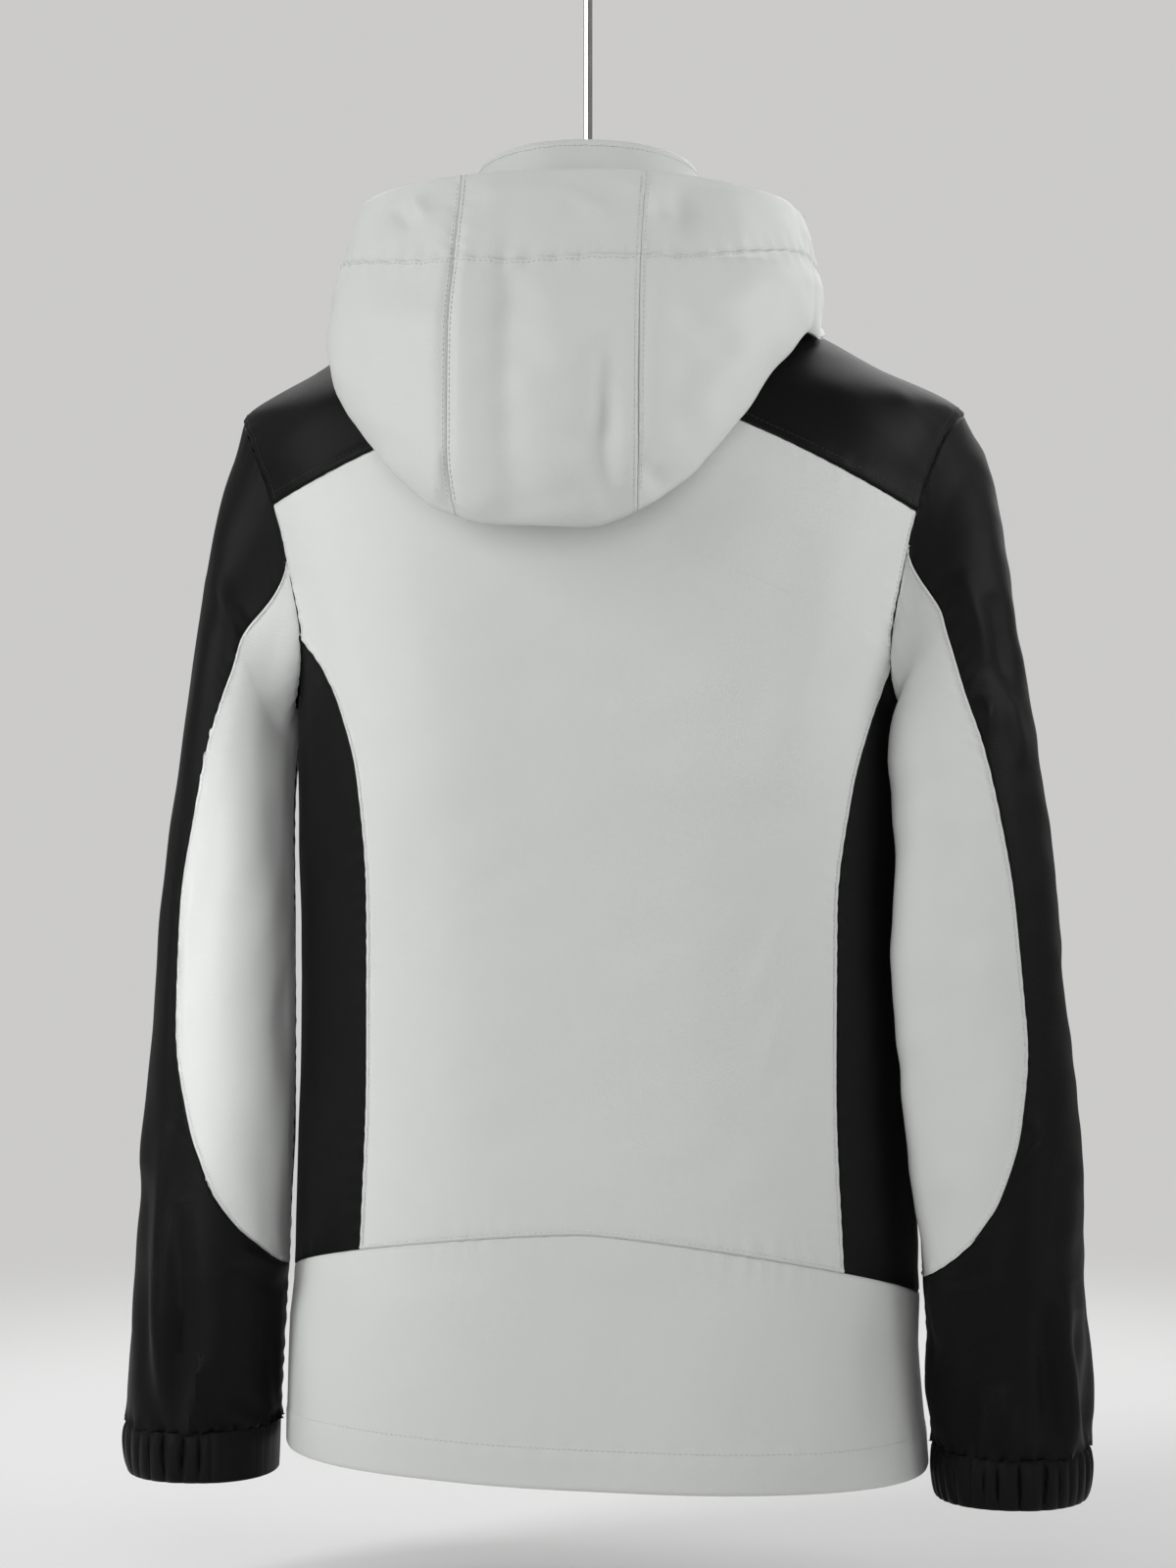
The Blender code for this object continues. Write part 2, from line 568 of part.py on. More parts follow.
def cuff(name, side):
    """An elastic cuff: a wavy outside over a plain inside; the left one is flat on its inner part."""
    last = {key: values[-1] for key, values in SLEEVE.items()}
    turn = np.linspace(0, 2 * math.pi, CUFF_POINTS, endpoint=False)
    uneven = turn + 0.05 * np.sin(3 * turn + side) + 0.035 * np.sin(7 * turn)
    gathered = np.clip(0.5 + 2.2 * np.cos(turn - 0.3), 0.06, 1) if side > 0 else np.ones(CUFF_POINTS)
    wave = CUFF_WAVE * np.sin(CUFF_GATHERS * uneven) * gathered * (0.75 + 0.25 * np.sin(5 * turn + 1))
    rows = []
    for height, narrow in ((CUFF_BOTTOM, CUFF_TAPER), (CUFF_TOP, 0.0)):
        half_x = (last["outer_x"] - last["inner_x"]) / 2 - narrow
        depth = np.where(np.sin(turn) > 0, last["back"], last["front"]) - narrow
        x = (last["outer_x"] + last["inner_x"]) / 2 + half_x * signed_power(np.cos(turn), SLEEVE_POWER)
        y = last["middle_y"] + depth * signed_power(np.sin(turn), SLEEVE_POWER)
        level = np.full(CUFF_POINTS, height + CUFF_LIFT[side])
        rows.append(np.stack([SLEEVE_SHIFT + side * x, y, level], axis=-1))
    plain = np.stack(rows)[:, ::-side]
    along = np.roll(plain, -1, axis=1) - np.roll(plain, 1, axis=1)
    directions = np.cross(plain[1] - plain[0], along)
    directions /= np.linalg.norm(directions, axis=-1, keepdims=True)
    outside = plain + directions * wave[::-side][None, :, None]
    thickness = CUFF_WALL + wave[::-side][None, :, None]
    wall(name, outside, directions, thickness, black, ring=True)


def torso_offset(points):
    """How far points lie off the torso's outside, below zero within it, and the way off it."""
    def level(at):
        height = at[..., 2]
        ring = {name: smooth(height, TORSO["height"], values) for name, values in TORSO.items()}
        depth = np.where(at[..., 1] > 0, ring["back"], ring["front"])
        total = (np.abs((at[..., 0] - ring["shift"]) / ring["half_width"]) ** ring["power"]
                 + np.abs(at[..., 1] / depth) ** ring["power"])
        return total ** (1 / ring["power"]) - 1
    step = 1e-4
    slope = np.stack([(level(points + step * axis) - level(points - step * axis)) / (2 * step)
                      for axis in np.eye(3)], axis=-1)
    steep = np.linalg.norm(slope, axis=-1)
    return level(points) / steep, slope / steep[..., None]


def hood_surface(angle, along):
    """The hood, hanging open behind the neck, over the angle from centre back and the way to the brim."""
    row = {name: smooth(np.maximum(along, HOOD_NECK_END), HOOD["along"], values)
           for name, values in HOOD.items()}
    rear = np.clip(np.abs(angle), 0, math.pi / 2)
    fore = np.clip(np.abs(angle) - math.pi / 2, 0, math.pi / 2)
    side = np.sign(angle)
    bend = np.clip((np.sin(rear) - HOOD_FLAT) / (1 - HOOD_FLAT), 0, 1)
    level = (1 - bend ** 2) ** (HOOD_SAG - HOOD_SAG_LEFT * side)
    free = np.stack([side * row["half_width"] * np.sin(rear),
                     row["side_y"] + (row["back_y"] - row["side_y"]) * np.cos(rear),
                     row["side_z"] + (row["back_z"] - row["side_z"]) * level], axis=-1)
    neck = hood_neck(angle * HOOD_NECK_SHARE)
    start = np.clip(along / HOOD_NECK_END, 0, 1)[..., None]
    at_side = hood_neck(side * math.pi / 2 * HOOD_NECK_SHARE)
    closing = np.cos(fore)[..., None]
    edge = np.stack([0 * along, -HOOD_END_OUT * start[..., 0] ** 0.5, HOOD_END_RISE * along], axis=-1)
    forward = neck + (free - at_side) * closing + edge * (1 - closing)
    hung = np.where(fore[..., None] > 0, forward, free)
    hung = neck + (hung - neck) * start
    turn = HOOD_TURN * start[..., 0]
    x, y = hung[..., 0], hung[..., 1]
    hung = np.stack([x * np.cos(turn) + y * np.sin(turn), y * np.cos(turn) - x * np.sin(turn),
                     hung[..., 2]], axis=-1)
    clear = 0.0010 + 0.0030 * np.clip(along / 0.06, 0, 1)
    for _ in range(4):
        distance, away = torso_offset(hung)
        hung = hung + away * np.clip(clear - distance, 0, None)[..., None]
    return hung


def hood_neck(angle):
    """Where the hood is sewn on, just off the neck seam."""
    angle = np.asarray(angle)
    spread = np.stack([np.sin(angle), np.cos(angle), 0.8 + 0 * angle], axis=-1)
    return torso(angle, neck_height(angle)) + HOOD_NECK_OFF * spread


def hood():
    """The hood's centre panel and its two side panels."""
    along = join(run(0, 0.36, 4), run(0.36, 0.60, 4), run(0.60, 1.0, 4))
    width = smooth(along, HOOD["along"], HOOD["half_width"])
    seam = np.arcsin(smooth(along, HOOD["along"], HOOD["seam"]) / width)
    levels = np.repeat(along[:, None], 9, axis=1)
    centre = seam[:, None] * run(-1, 1, 8)[None]
    panel_grid = np.stack([centre, levels], axis=-1)
    side_angles = join(run(0, 0.5, 7), run(0.5, 1, 6))
    side_grid = np.stack([seam[:, None] + side_angles[None] * (HOOD_END - seam[:, None]),
                          np.repeat(along[:, None], len(side_angles), axis=1)], axis=-1)
    for name, grid in (("hood_centre", panel_grid), ("hood_side_left", side_grid),
                       ("hood_side_right", mirrored(side_grid)[:, ::-1])):
        panel(name, hood_surface, grid, HOOD_WALL, white)


def hanger():
    """The steel rod with its hook, and plain hanger arms under the shoulders."""
    hook_turn = np.radians(run(-90, 130, 16))
    centre_z = HANG_HEIGHT - HOOK_RADIUS + ROD_RADIUS
    hook = [(HOOK_RADIUS * math.cos(t), 0, centre_z + HOOK_RADIUS * math.sin(t)) for t in hook_turn]
    low = hook[0][2]
    rod = [(0, 0, z) for z in run(ROD_FOOT, low - 0.004, 6)]
    tube("hanger_rod", rod + hook, ROD_RADIUS, steel)

    peak = ROD_FOOT - GAP - ARM_RADIUS
    x = run(-ARM_HALF, ARM_HALF, 24)
    route = np.stack([x, 0 * x, peak - ARM_SLOPE * np.clip(np.abs(x) - ARM_LEVEL_HALF, 0, None)], axis=-1)
    depth = BODY_WALL + ARM_RADIUS + ARM_CLEARANCE
    for _ in range(6):
        distance, away = torso_offset(route)
        away[:, 1] = 0
        route -= away * np.clip(distance + depth, -0.004, 0.004)[:, None] * (np.abs(x) > 0.085)[:, None]
        route -= away * np.clip(distance + depth, 0, 0.004)[:, None]
    route[:, 2] = np.minimum(route[:, 2], peak)
    tube("hanger_arms", route, ARM_RADIUS, steel)


def box(name, size, place, look, parent):
    bpy.ops.mesh.primitive_cube_add(size=1, location=place)
    made = bpy.context.object
    made.name = name
    made.data.transform(Matrix.Diagonal((*size, 1)))
    made.data.materials.append(look)
    made.parent = parent
    return made


def disc(name, radius, width, place, look, parent):
    bpy.ops.mesh.primitive_cylinder_add(vertices=16, radius=radius, depth=width, location=place,
                                        rotation=(0, math.pi / 2, 0))
    made = bpy.context.object
    made.name = name
    made.data.materials.append(look)
    made.parent = parent
    return made


def combine(target, tool, operation):
    change = target.modifiers.new(tool.name, "BOOLEAN")
    change.operation = operation
    change.object = tool
    tool.hide_render = True
    tool.display_type = "WIRE"


def zip_slider():
    """The slider closed at the collar's top, its eye, and the pull tab that hangs from it."""
    seat, below = collar_surface(np.full(2, math.pi), np.array([SLIDER_RISE, SLIDER_RISE - 0.1]))
    tilt = math.atan2(seat[1] - below[1], seat[2] - below[2])
    holder = bpy.data.objects.new("slider_seat", None)
    holder.location = seat
    holder.rotation_euler = (-tilt, 0, 0)
    holder.parent = hanging_point
    bpy.context.collection.objects.link(holder)
    face = GAP + SLIDER_SIZE[1]
    slider = box("zip_slider", SLIDER_SIZE, (0, -GAP - SLIDER_SIZE[1] / 2, 0), steel, holder)
    stem_place = (0, -face - EYE_REACH / 2 + 0.001, 0)
    stem = box("slider_stem", (EYE_WIDTH, EYE_REACH, 0.003), stem_place, steel, holder)
    eye = disc("slider_eye", EYE_RADIUS, EYE_WIDTH, (0, -face - EYE_REACH, 0), steel, holder)
    bore = disc("slider_bore", EYE_BORE, 0.004, (0, -face - EYE_REACH, 0), steel, holder)
    combine(slider, stem, "UNION")
    combine(slider, eye, "UNION")
    combine(slider, bore, "DIFFERENCE")

    pin = bpy.data.objects.new("tab_axis", None)
    reach = face + EYE_REACH
    pin.location = (seat[0], seat[1] - reach * math.cos(tilt), seat[2] + reach * math.sin(tilt))
    pin.parent = hanging_point
    bpy.context.collection.objects.link(pin)
    width, thick, length = TAB_SIZE
    tab = box("zip_tab", TAB_SIZE, (0, 0, thick / 2 - length / 2), steel, pin)
    window = box("tab_window", (TAB_WINDOW[0], 2 * thick, TAB_WINDOW[1]),
                 (0, 0, -thick / 2 - TAB_WINDOW[1] / 2), steel, pin)
    combine(tab, window, "DIFFERENCE")


for old in list(bpy.data.objects):
    bpy.data.objects.remove(old)
hanging_point = bpy.data.objects.new("hanging_point", None)
hanging_point.location = (0, 0, -HANG_HEIGHT)
bpy.context.collection.objects.link(hanging_point)
white = material("pale_cloth", WHITE, 0.62)
black = material("black_cloth", BLACK, 0.55)
steel = material("steel", STEEL, 0.28, 1.0)

neck_back_run, neck_front_run, front_inner_edge = torso_panels()
collar_inner_edge = collar(neck_back_run, neck_front_run)
front_zip(front_inner_edge, collar_inner_edge)
sleeves()
hood()
zip_slider()
hanger()
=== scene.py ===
"""A hooded three-in-one waterproof jacket, filled out and hung from a steel rod, seen from behind."""
import math

import bpy
import numpy as np
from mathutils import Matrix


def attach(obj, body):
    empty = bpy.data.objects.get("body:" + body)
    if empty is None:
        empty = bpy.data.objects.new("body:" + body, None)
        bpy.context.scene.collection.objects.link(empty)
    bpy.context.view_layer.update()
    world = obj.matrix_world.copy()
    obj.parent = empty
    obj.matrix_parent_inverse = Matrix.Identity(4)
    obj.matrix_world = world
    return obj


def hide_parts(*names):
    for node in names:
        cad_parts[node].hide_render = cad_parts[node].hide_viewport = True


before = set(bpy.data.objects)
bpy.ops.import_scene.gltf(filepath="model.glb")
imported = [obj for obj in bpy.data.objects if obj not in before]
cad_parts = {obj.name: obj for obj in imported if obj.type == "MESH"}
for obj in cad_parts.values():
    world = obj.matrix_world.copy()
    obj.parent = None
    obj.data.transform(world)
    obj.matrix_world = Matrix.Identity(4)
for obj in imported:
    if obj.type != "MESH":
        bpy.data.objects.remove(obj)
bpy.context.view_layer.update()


# Back panel
# The back is one pale waterproof shell panel, cut to a curve along both side panels and to a
# shallow peak under the yoke. It is filled out as if worn, and hangs almost smooth.
HANG_HEIGHT = 0.5350  # of the rail above the elbows, from which all heights here are measured
ARMHOLE_TOP = 0.222
ARMHOLE_BOTTOM = 0.040
ARMHOLE_BACK = 0.072
ARMHOLE_FRONT = 0.066
ARMHOLE_POWER = 2.6
ARMHOLE_MIDDLE = (ARMHOLE_TOP + ARMHOLE_BOTTOM) / 2
ARMHOLE_HALF = (ARMHOLE_TOP - ARMHOLE_BOTTOM) / 2
YOKE_CORNER = 0.163
YOKE_PEAK = 0.247
YOKE_BOW = 0.002
SIDE_TIP = 0.085
BODY_LEAN = 0.030
LEAN_START = 0.20
LEAN_REACH = 0.06
HEM_SEAM_TOP = -0.2598
HEM_SEAM_DROP = 0.0425
HEM_SEAM_REACH = math.radians(88)
CLOTH_THICKNESS = 0.0011
SEAM_GAP = 0.00024
SEAM_ROLL = 0.0009
SEAM_DEPTH = 0.0007
STITCH_INSET = 0.0023
RIDGE_HEIGHT = 0.0006
RIDGE_SHOULDER = 0.00028
STITCH_GROOVE = 0.0004
GROOVE_WIDTH = 0.0006
STITCH_LENGTH = 0.0024
STITCH_PITCH = 0.0032
THREAD_RADIUS = 0.00020
THREAD_SIDES = 5
PUCKER_LENGTH = 0.011
PUCKER_HEIGHT = 0.00042
PUCKER_REACH = 0.008
EDGE_STEPS = (0.07, 0.15, 0.25, 0.37, 0.52, 0.74)
WEAVE_PITCH = 0.00075
WEAVE_RELIEF = 0.00006
SEAM_SHADE_REACH = 0.0030
PALE = (0.600, 0.614, 0.598)
PALE_THREAD = (0.52, 0.54, 0.55)


def table(columns, *rows):
    """A small table: one array for each named column."""
    return dict(zip(columns.split(), np.array(rows, float).T))


def smooth(at, knots, values):
    """The monotone cubic curve through the values at the rising knots."""
    at = np.clip(np.asarray(at, float), knots[0], knots[-1])
    steps = np.diff(knots)
    rises = np.diff(values) / steps
    product = rises[:-1] * rises[1:]
    total = rises[:-1] + rises[1:]
    slopes = np.empty(len(knots))
    slopes[1:-1] = np.where(product > 0, 2 * product / np.where(total == 0, 1, total), 0)
    slopes[0], slopes[-1] = rises[0], rises[-1]
    i = np.clip(np.searchsorted(knots, at, side="right") - 1, 0, len(steps) - 1)
    t = (at - knots[i]) / steps[i]
    return (values[i] * (1 + 2 * t) * (1 - t) ** 2 + values[i + 1] * t * t * (3 - 2 * t)
            + steps[i] * (slopes[i] * t * (1 - t) ** 2 - slopes[i + 1] * t * t * (1 - t)))


def signed_power(value, power):
    return np.sign(value) * np.abs(value) ** power


def bell(off, width):
    """1 at no distance, falling away smoothly over a width."""
    return np.exp(-(off / width) ** 2)


def ramp(off, length):
    """0 up to no distance, then rising evenly to 1 over a length."""
    return np.clip(off / length, 0, 1)


def run(start, stop, cells):
    return np.linspace(start, stop, cells + 1)


def join(*runs):
    """One run of points from several that meet end to end."""
    return np.concatenate([runs[0]] + [part[1:] for part in runs[1:]])


def at_lengths(marks, along, line):
    """The points of a line at the marked lengths along it."""
    return np.stack([np.interp(marks, along, line[:, axis]) for axis in range(3)], axis=-1)


def row_at(values, knots, at):
    """Every column of a table at the given place between its rows."""
    return {name: smooth(at, knots, column) for name, column in values.items()}


# The body, ring by ring from the hem to the neck, in heights above the elbows.
TORSO = table("height half_width back front shift power",
              (-0.407, 0.1955, 0.122, 0.118, -0.011, 2.3),
              (-0.285, 0.1900, 0.120, 0.116, -0.011, 2.3),
              (-0.100, 0.1865, 0.118, 0.115, -0.011, 2.3),
              (0.040, 0.1870, 0.128, 0.121, -0.010, 2.3),
              (0.130, 0.2070, 0.132, 0.122, -0.009, 2.3),
              (0.190, 0.2200, 0.128, 0.114, -0.009, 2.3),
              (0.210, 0.2215, 0.121, 0.108, -0.009, 2.3),
              (0.222, 0.2197, 0.115, 0.103, -0.009, 2.3),
              (0.250, 0.1730, 0.101, 0.091, -0.006, 2.2),
              (0.280, 0.1220, 0.086, 0.078, -0.003, 2.1),
              (0.305, 0.0780, 0.068, 0.068, 0.000, 2.0))

# Half-width of the back panel where each side panel's seam runs.
SIDE_SEAM = table("height left right",
                  (-0.282, 0.1375, 0.1470), (-0.170, 0.1335, 0.1425), (-0.070, 0.1335, 0.1432),
                  (0.000, 0.1385, 0.1525), (0.040, 0.1491, 0.1632), (0.065, 0.1617, 0.1723),
                  (0.085, 0.1795, 0.1795))

# Soft folds of the back, each along a line from x0, z0 to x1, z1.
BACK_FOLDS = table("x0 z0 x1 z1 width height",
                   (0.150, 0.170, 0.115, 0.020, 0.017, 0.0030),
                   (0.172, 0.120, 0.128, -0.030, 0.010, -0.0020),
                   (-0.160, 0.150, -0.115, -0.010, 0.018, 0.0028),
                   (-0.135, 0.150, -0.100, 0.010, 0.014, -0.0018),
                   (0.095, 0.150, 0.060, -0.120, 0.030, 0.0030),
                   (0.030, 0.150, 0.020, -0.060, 0.026, -0.0022),
                   (0.100, -0.040, 0.085, -0.240, 0.022, -0.0022),
                   (-0.060, 0.060, -0.080, -0.220, 0.030, 0.0022),
                   (-0.130, -0.060, -0.105, -0.130, 0.007, 0.0012),
                   (-0.132, -0.100, -0.108, -0.180, 0.007, 0.0013))


def torso(angle, height):
    """A point on the outside of the body; the angle runs from the back's centre to the wearer's left."""
    ring = row_at(TORSO, TORSO["height"], height)
    power = 2 / ring["power"]
    across, along = signed_power(np.sin(angle), power), signed_power(np.cos(angle), power)
    x = ring["shift"] + ring["half_width"] * across
    y = np.where(along > 0, ring["back"], ring["front"]) * along
    lean = BODY_LEAN * ramp(LEAN_START - height, LEAN_REACH)
    return np.stack([x, y, height + lean * ring["half_width"] * across], axis=-1)


def outward(surface, u, v):
    """Unit normals of a surface, pointing off its outside."""
    step = 1e-4
    across = surface(u + step, v) - surface(u - step, v)
    up = surface(u, v + step) - surface(u, v - step)
    normal = np.cross(up, across)
    return normal / np.linalg.norm(normal, axis=-1, keepdims=True)


def torso_angle(half_width, height):
    """The angle behind the side at which the body's back reaches this far out."""
    widest = smooth(height, TORSO["height"], TORSO["half_width"])
    power = smooth(height, TORSO["height"], TORSO["power"])
    return np.arcsin(np.clip(half_width / widest, 0, 1) ** (power / 2))


def armhole(turn):
    """Body angle and height round the armhole; the turn runs from its top by the back."""
    height = ARMHOLE_MIDDLE + ARMHOLE_HALF * signed_power(np.cos(turn), 2 / ARMHOLE_POWER)
    reach = signed_power(np.sin(turn), 2 / ARMHOLE_POWER)
    y = np.where(reach > 0, ARMHOLE_BACK, ARMHOLE_FRONT) * reach
    depth = np.where(reach > 0, smooth(height, TORSO["height"], TORSO["back"]),
                     smooth(height, TORSO["height"], TORSO["front"]))
    power = smooth(height, TORSO["height"], TORSO["power"])
    return np.arccos(signed_power(y / depth, power / 2)), height


def armhole_turn(height, behind):
    """The turn at which the armhole passes a height, behind the sleeve or before it."""
    turn = math.acos(signed_power((height - ARMHOLE_MIDDLE) / ARMHOLE_HALF, ARMHOLE_POWER / 2))
    return turn if behind else -turn


def hem_seam_height(angle):
    """The hem panel's top seam: it falls from the centre back to the sides, then runs level."""
    return HEM_SEAM_TOP - HEM_SEAM_DROP * ramp(np.abs(angle), HEM_SEAM_REACH) ** 1.2


def fill(bottom, top, left, right, fade=1):
    """A grid between four edges that share their corners (rows go up, columns across)."""
    up = np.linspace(0, 1, len(left))[:, None, None]
    across = np.linspace(0, 1, len(bottom))[None, :, None]
    level = bottom[None] * (1 - up) + top[None] * up
    from_left = left[:, None] - level[:, :1]
    from_right = right[:, None] - level[:, -1:]
    return level + from_left * (1 - across) ** fade + from_right * across ** fade


def mirrored(points):
    return points * np.array([-1, 1])


def edged(grid):
    """Adds rows and columns close to a grid's four edges, where a seam bends the cloth sharply."""
    steps = np.array(EDGE_STEPS)
    for _ in range(2):
        last = len(grid) - 1
        marks = np.concatenate([[0], steps, np.arange(1, last), last - steps[::-1], [last]])
        low = np.minimum(marks.astype(int), last - 1)
        share = (marks - low)[:, None, None]
        grid = (grid[low] * (1 - share) + grid[low + 1] * share).swapaxes(0, 1)
    return grid


def laid(surface, grid):
    """A grid laid on a surface, finer at its edges: the points, the way off the cloth, and the grid."""
    grid = edged(grid)
    u, v = grid[..., 0], grid[..., 1]
    return surface(u, v), outward(surface, u, v), u, v


def lengths(points):
    """How far each point lies along its row from the left, and up its column from the bottom."""
    across = np.cumsum(np.linalg.norm(np.diff(points, axis=1, prepend=points[:, :1]), axis=-1), axis=1)
    up = np.cumsum(np.linalg.norm(np.diff(points, axis=0, prepend=points[:1]), axis=-1), axis=0)
    return across, up


def drape(points, size, seed):
    """An even field of soft rises and hollows about a size across, between about -1 and 1."""
    draw = np.random.default_rng(seed)
    field = 0
    waves = 14
    for _ in range(waves):
        way = draw.normal(size=3)
        way *= 2 * math.pi / (size * draw.uniform(0.8, 1.6)) / np.linalg.norm(way)
        field = field + np.sin(points @ way + draw.uniform(0, 2 * math.pi))
    return field / math.sqrt(waves)


def folds(points, lines):
    """Soft ridges and hollows along straight lines, seen from behind."""
    at = points[..., [0, 2]]
    relief = 0
    for x0, z0, x1, z1, width, height in zip(*lines.values()):
        start, way = np.array([x0, z0]), np.array([x1 - x0, z1 - z0])
        share = np.clip((at - start) @ way / (way @ way), 0, 1)
        off = np.linalg.norm(at - start - share[..., None] * way, axis=-1)
        relief = relief + height * np.exp(-(off / width) ** 1.7) * np.sin(math.pi * share) ** 0.7
    return relief * ramp(points[..., 1], 0.02)


def seam_relief(off, along, inset):
    """A sewn edge dips at its seam and puckers. Where it is topstitched it stands up as a narrow ridge."""
    relief = -SEAM_DEPTH * bell(off, SEAM_ROLL)
    phase = 2 * math.pi * along / PUCKER_LENGTH + 1.3 * np.sin(along * 61) + 0.9 * np.sin(along * 173)
    reach = bell(off - 0.5 * PUCKER_REACH, PUCKER_REACH)
    relief = relief + PUCKER_HEIGHT * np.sin(phase) * reach * (0.6 + 0.4 * np.sin(along * 37))
    if inset:
        beyond = np.minimum((off - inset) / RIDGE_SHOULDER, 500)
        relief = relief + RIDGE_HEIGHT / (1 + np.exp(beyond))
        relief = relief - STITCH_GROOVE * bell(off - inset - THREAD_RADIUS, GROOVE_WIDTH)
    return relief


def sewn(points, edges, stitched="", inset=STITCH_INSET):
    """The relief of a panel's sewn edges, and how far the nearest of them is."""
    across, up = lengths(points)
    ways = {"left": (across, up), "right": (across[:, -1:] - across, up),
            "bottom": (up, across), "top": (up[-1:] - up, across)}
    relief = sum(seam_relief(*ways[edge], inset if edge in stitched.split() else 0)
                 for edge in edges.split())
    return relief, np.min([ways[edge][0] for edge in edges.split()], axis=0)


def inset_line(points, out, edge, inset):
    """The line an even way in from one edge of a panel, and the way off the cloth along it."""
    if edge in ("bottom", "top"):
        points, out = points.swapaxes(0, 1), out.swapaxes(0, 1)
    if edge in ("right", "top"):
        points, out = points[:, ::-1], out[:, ::-1]
    off = lengths(points)[0]
    return [np.array([at_lengths(inset, *pair) for pair in zip(off, rows)]) for rows in (points, out)]


def new_piece(name, points, faces):
    """A mesh object in the scene, from points given above the elbows."""
    mesh = bpy.data.meshes.new(name)
    mesh.from_pydata((points - [0, 0, HANG_HEIGHT]).reshape(-1, 3).tolist(), [], faces)
    piece = bpy.data.objects.new(name, mesh)
    bpy.context.collection.objects.link(piece)
    return piece


def select_alone(piece):
    bpy.ops.object.select_all(action="DESELECT")
    bpy.context.view_layer.objects.active = piece
    piece.select_set(True)


def shape_with(piece, kind, **settings):
    """Applies one modifier to a piece."""
    select_alone(piece)
    modifier = piece.modifiers.new(kind, kind)
    for setting, value in settings.items():
        setattr(modifier, setting, value)
    bpy.ops.object.modifier_apply(modifier=kind)


def sew(cloth_name, lines, look):
    """Rows of topstitching: each stitch of thread dives into the cloth at both ends."""
    name = cloth_name.replace("cloth", "stitches")
    rings = []
    turn = np.arange(THREAD_SIDES) * 2 * math.pi / THREAD_SIDES
    lift = THREAD_RADIUS * np.array([-1.4, 0.7, 0.7, -1.4])[None, :, None]
    for line, ways in lines:
        along = np.concatenate([[0], np.cumsum(np.linalg.norm(np.diff(line, axis=0), axis=1))])
        starts = np.arange(STITCH_PITCH, along[-1] - 2 * STITCH_PITCH, STITCH_PITCH)
        marks = starts[:, None] + STITCH_LENGTH * np.array([0, 0.2, 0.8, 1])
        spine, up = at_lengths(marks, along, line), at_lengths(marks, along, ways)
        beside = np.cross(up, spine[:, 3:] - spine[:, :1])
        beside /= np.linalg.norm(beside, axis=-1, keepdims=True)
        spine = spine + lift * up
        around = np.cos(turn)[:, None] * beside[:, :, None] * 1.25 + np.sin(turn)[:, None] * up[:, :, None]
        rings.append(spine[:, :, None] + THREAD_RADIUS * around)
    rings = np.concatenate(rings)
    sides = THREAD_SIDES
    faces = []
    for first in range(0, 4 * sides * len(rings), 4 * sides):
        for a in range(first, first + 3 * sides, sides):
            faces += [(a + i, a + (i + 1) % sides, a + sides + (i + 1) % sides, a + sides + i)
                      for i in range(sides)]
        faces.append(tuple(range(first + sides - 1, first - 1, -1)))
        faces.append(tuple(range(first + 3 * sides, first + 4 * sides)))
    thread = new_piece(name, rings, faces)
    thread.data.shade_smooth()
    thread.data.materials.append(look)
    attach(thread, "jacket")


def draw_in(grid, distance):
    """Moves a grid's four edges in, square to each edge, to leave the seam gap."""
    moved = grid.copy()
    for edge, inner in (((0, slice(None)), (1, slice(None))), ((-1, slice(None)), (-2, slice(None))),
                        ((slice(None), 0), (slice(None), 1)), ((slice(None), -1), (slice(None), -2))):
        tangent = np.gradient(grid[edge], axis=0)
        tangent /= np.linalg.norm(tangent, axis=-1, keepdims=True)
        step = grid[inner] - grid[edge]
        step -= np.sum(step * tangent, axis=-1, keepdims=True) * tangent
        moved[edge] += distance * step / np.linalg.norm(step, axis=-1, keepdims=True)
    return moved


def make_cloth(name, points, near_seam, look, thickness=CLOTH_THICKNESS, ring=False):
    """A sheet of cloth over a grid of outside points, with its thickness, weave map and the seam distance
    that sets its painted seam shade.
    """
    rows, cols = points.shape[:2]
    last = cols if ring else cols - 1
    i, j = np.meshgrid(np.arange(rows - 1), np.arange(last), indexing="ij")
    a, b = i * cols + j, i * cols + (j + 1) % cols
    faces = np.stack([a, a + cols, b + cols, b], axis=-1).reshape(-1, 4)
    piece = new_piece(name, points, faces.tolist())
    mesh = piece.data
    across, up = lengths(points)
    closing = np.linalg.norm(points[:, 0] - points[:, -1], axis=-1)
    right = np.where(j + 1 < cols, across[i, (j + 1) % cols], across[i, -1] + closing[i])
    corners = [(across[i, j], up[i, j]), (across[i + 1, j], up[i + 1, j]),
               (right + across[i + 1, j] - across[i, j], up[i + 1, (j + 1) % cols]),
               (right, up[i, (j + 1) % cols])]
    weave = mesh.uv_layers.new(name="weave")
    weave.data.foreach_set("uv", np.stack([np.stack(c, -1) for c in corners], axis=2).ravel())
    mark = mesh.attributes.new("near_seam", "FLOAT", "POINT")
    mark.data.foreach_set("value", np.broadcast_to(near_seam, (rows, cols)).ravel())
    mesh.materials.append(look)
    shape_with(piece, "SOLIDIFY", thickness=thickness, offset=-1, use_even_offset=False)
    mesh.shade_smooth()
    mesh.set_sharp_from_angle(angle=math.radians(50))
    return piece


def wear(piece, node):
    """The piece stands for its solid, which is hidden, and rides with the jacket."""
    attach(piece, "jacket")
    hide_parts(node)


def link(tree, start, end):
    tree.links.new(start, end)


def add(tree, kind, **values):
    """A new node; its inputs are given by name, with _ for a space."""
    node = tree.nodes.new("ShaderNode" + kind)
    for name, value in values.items():
        node.inputs[name.replace("_", " ")].default_value = value
    return node


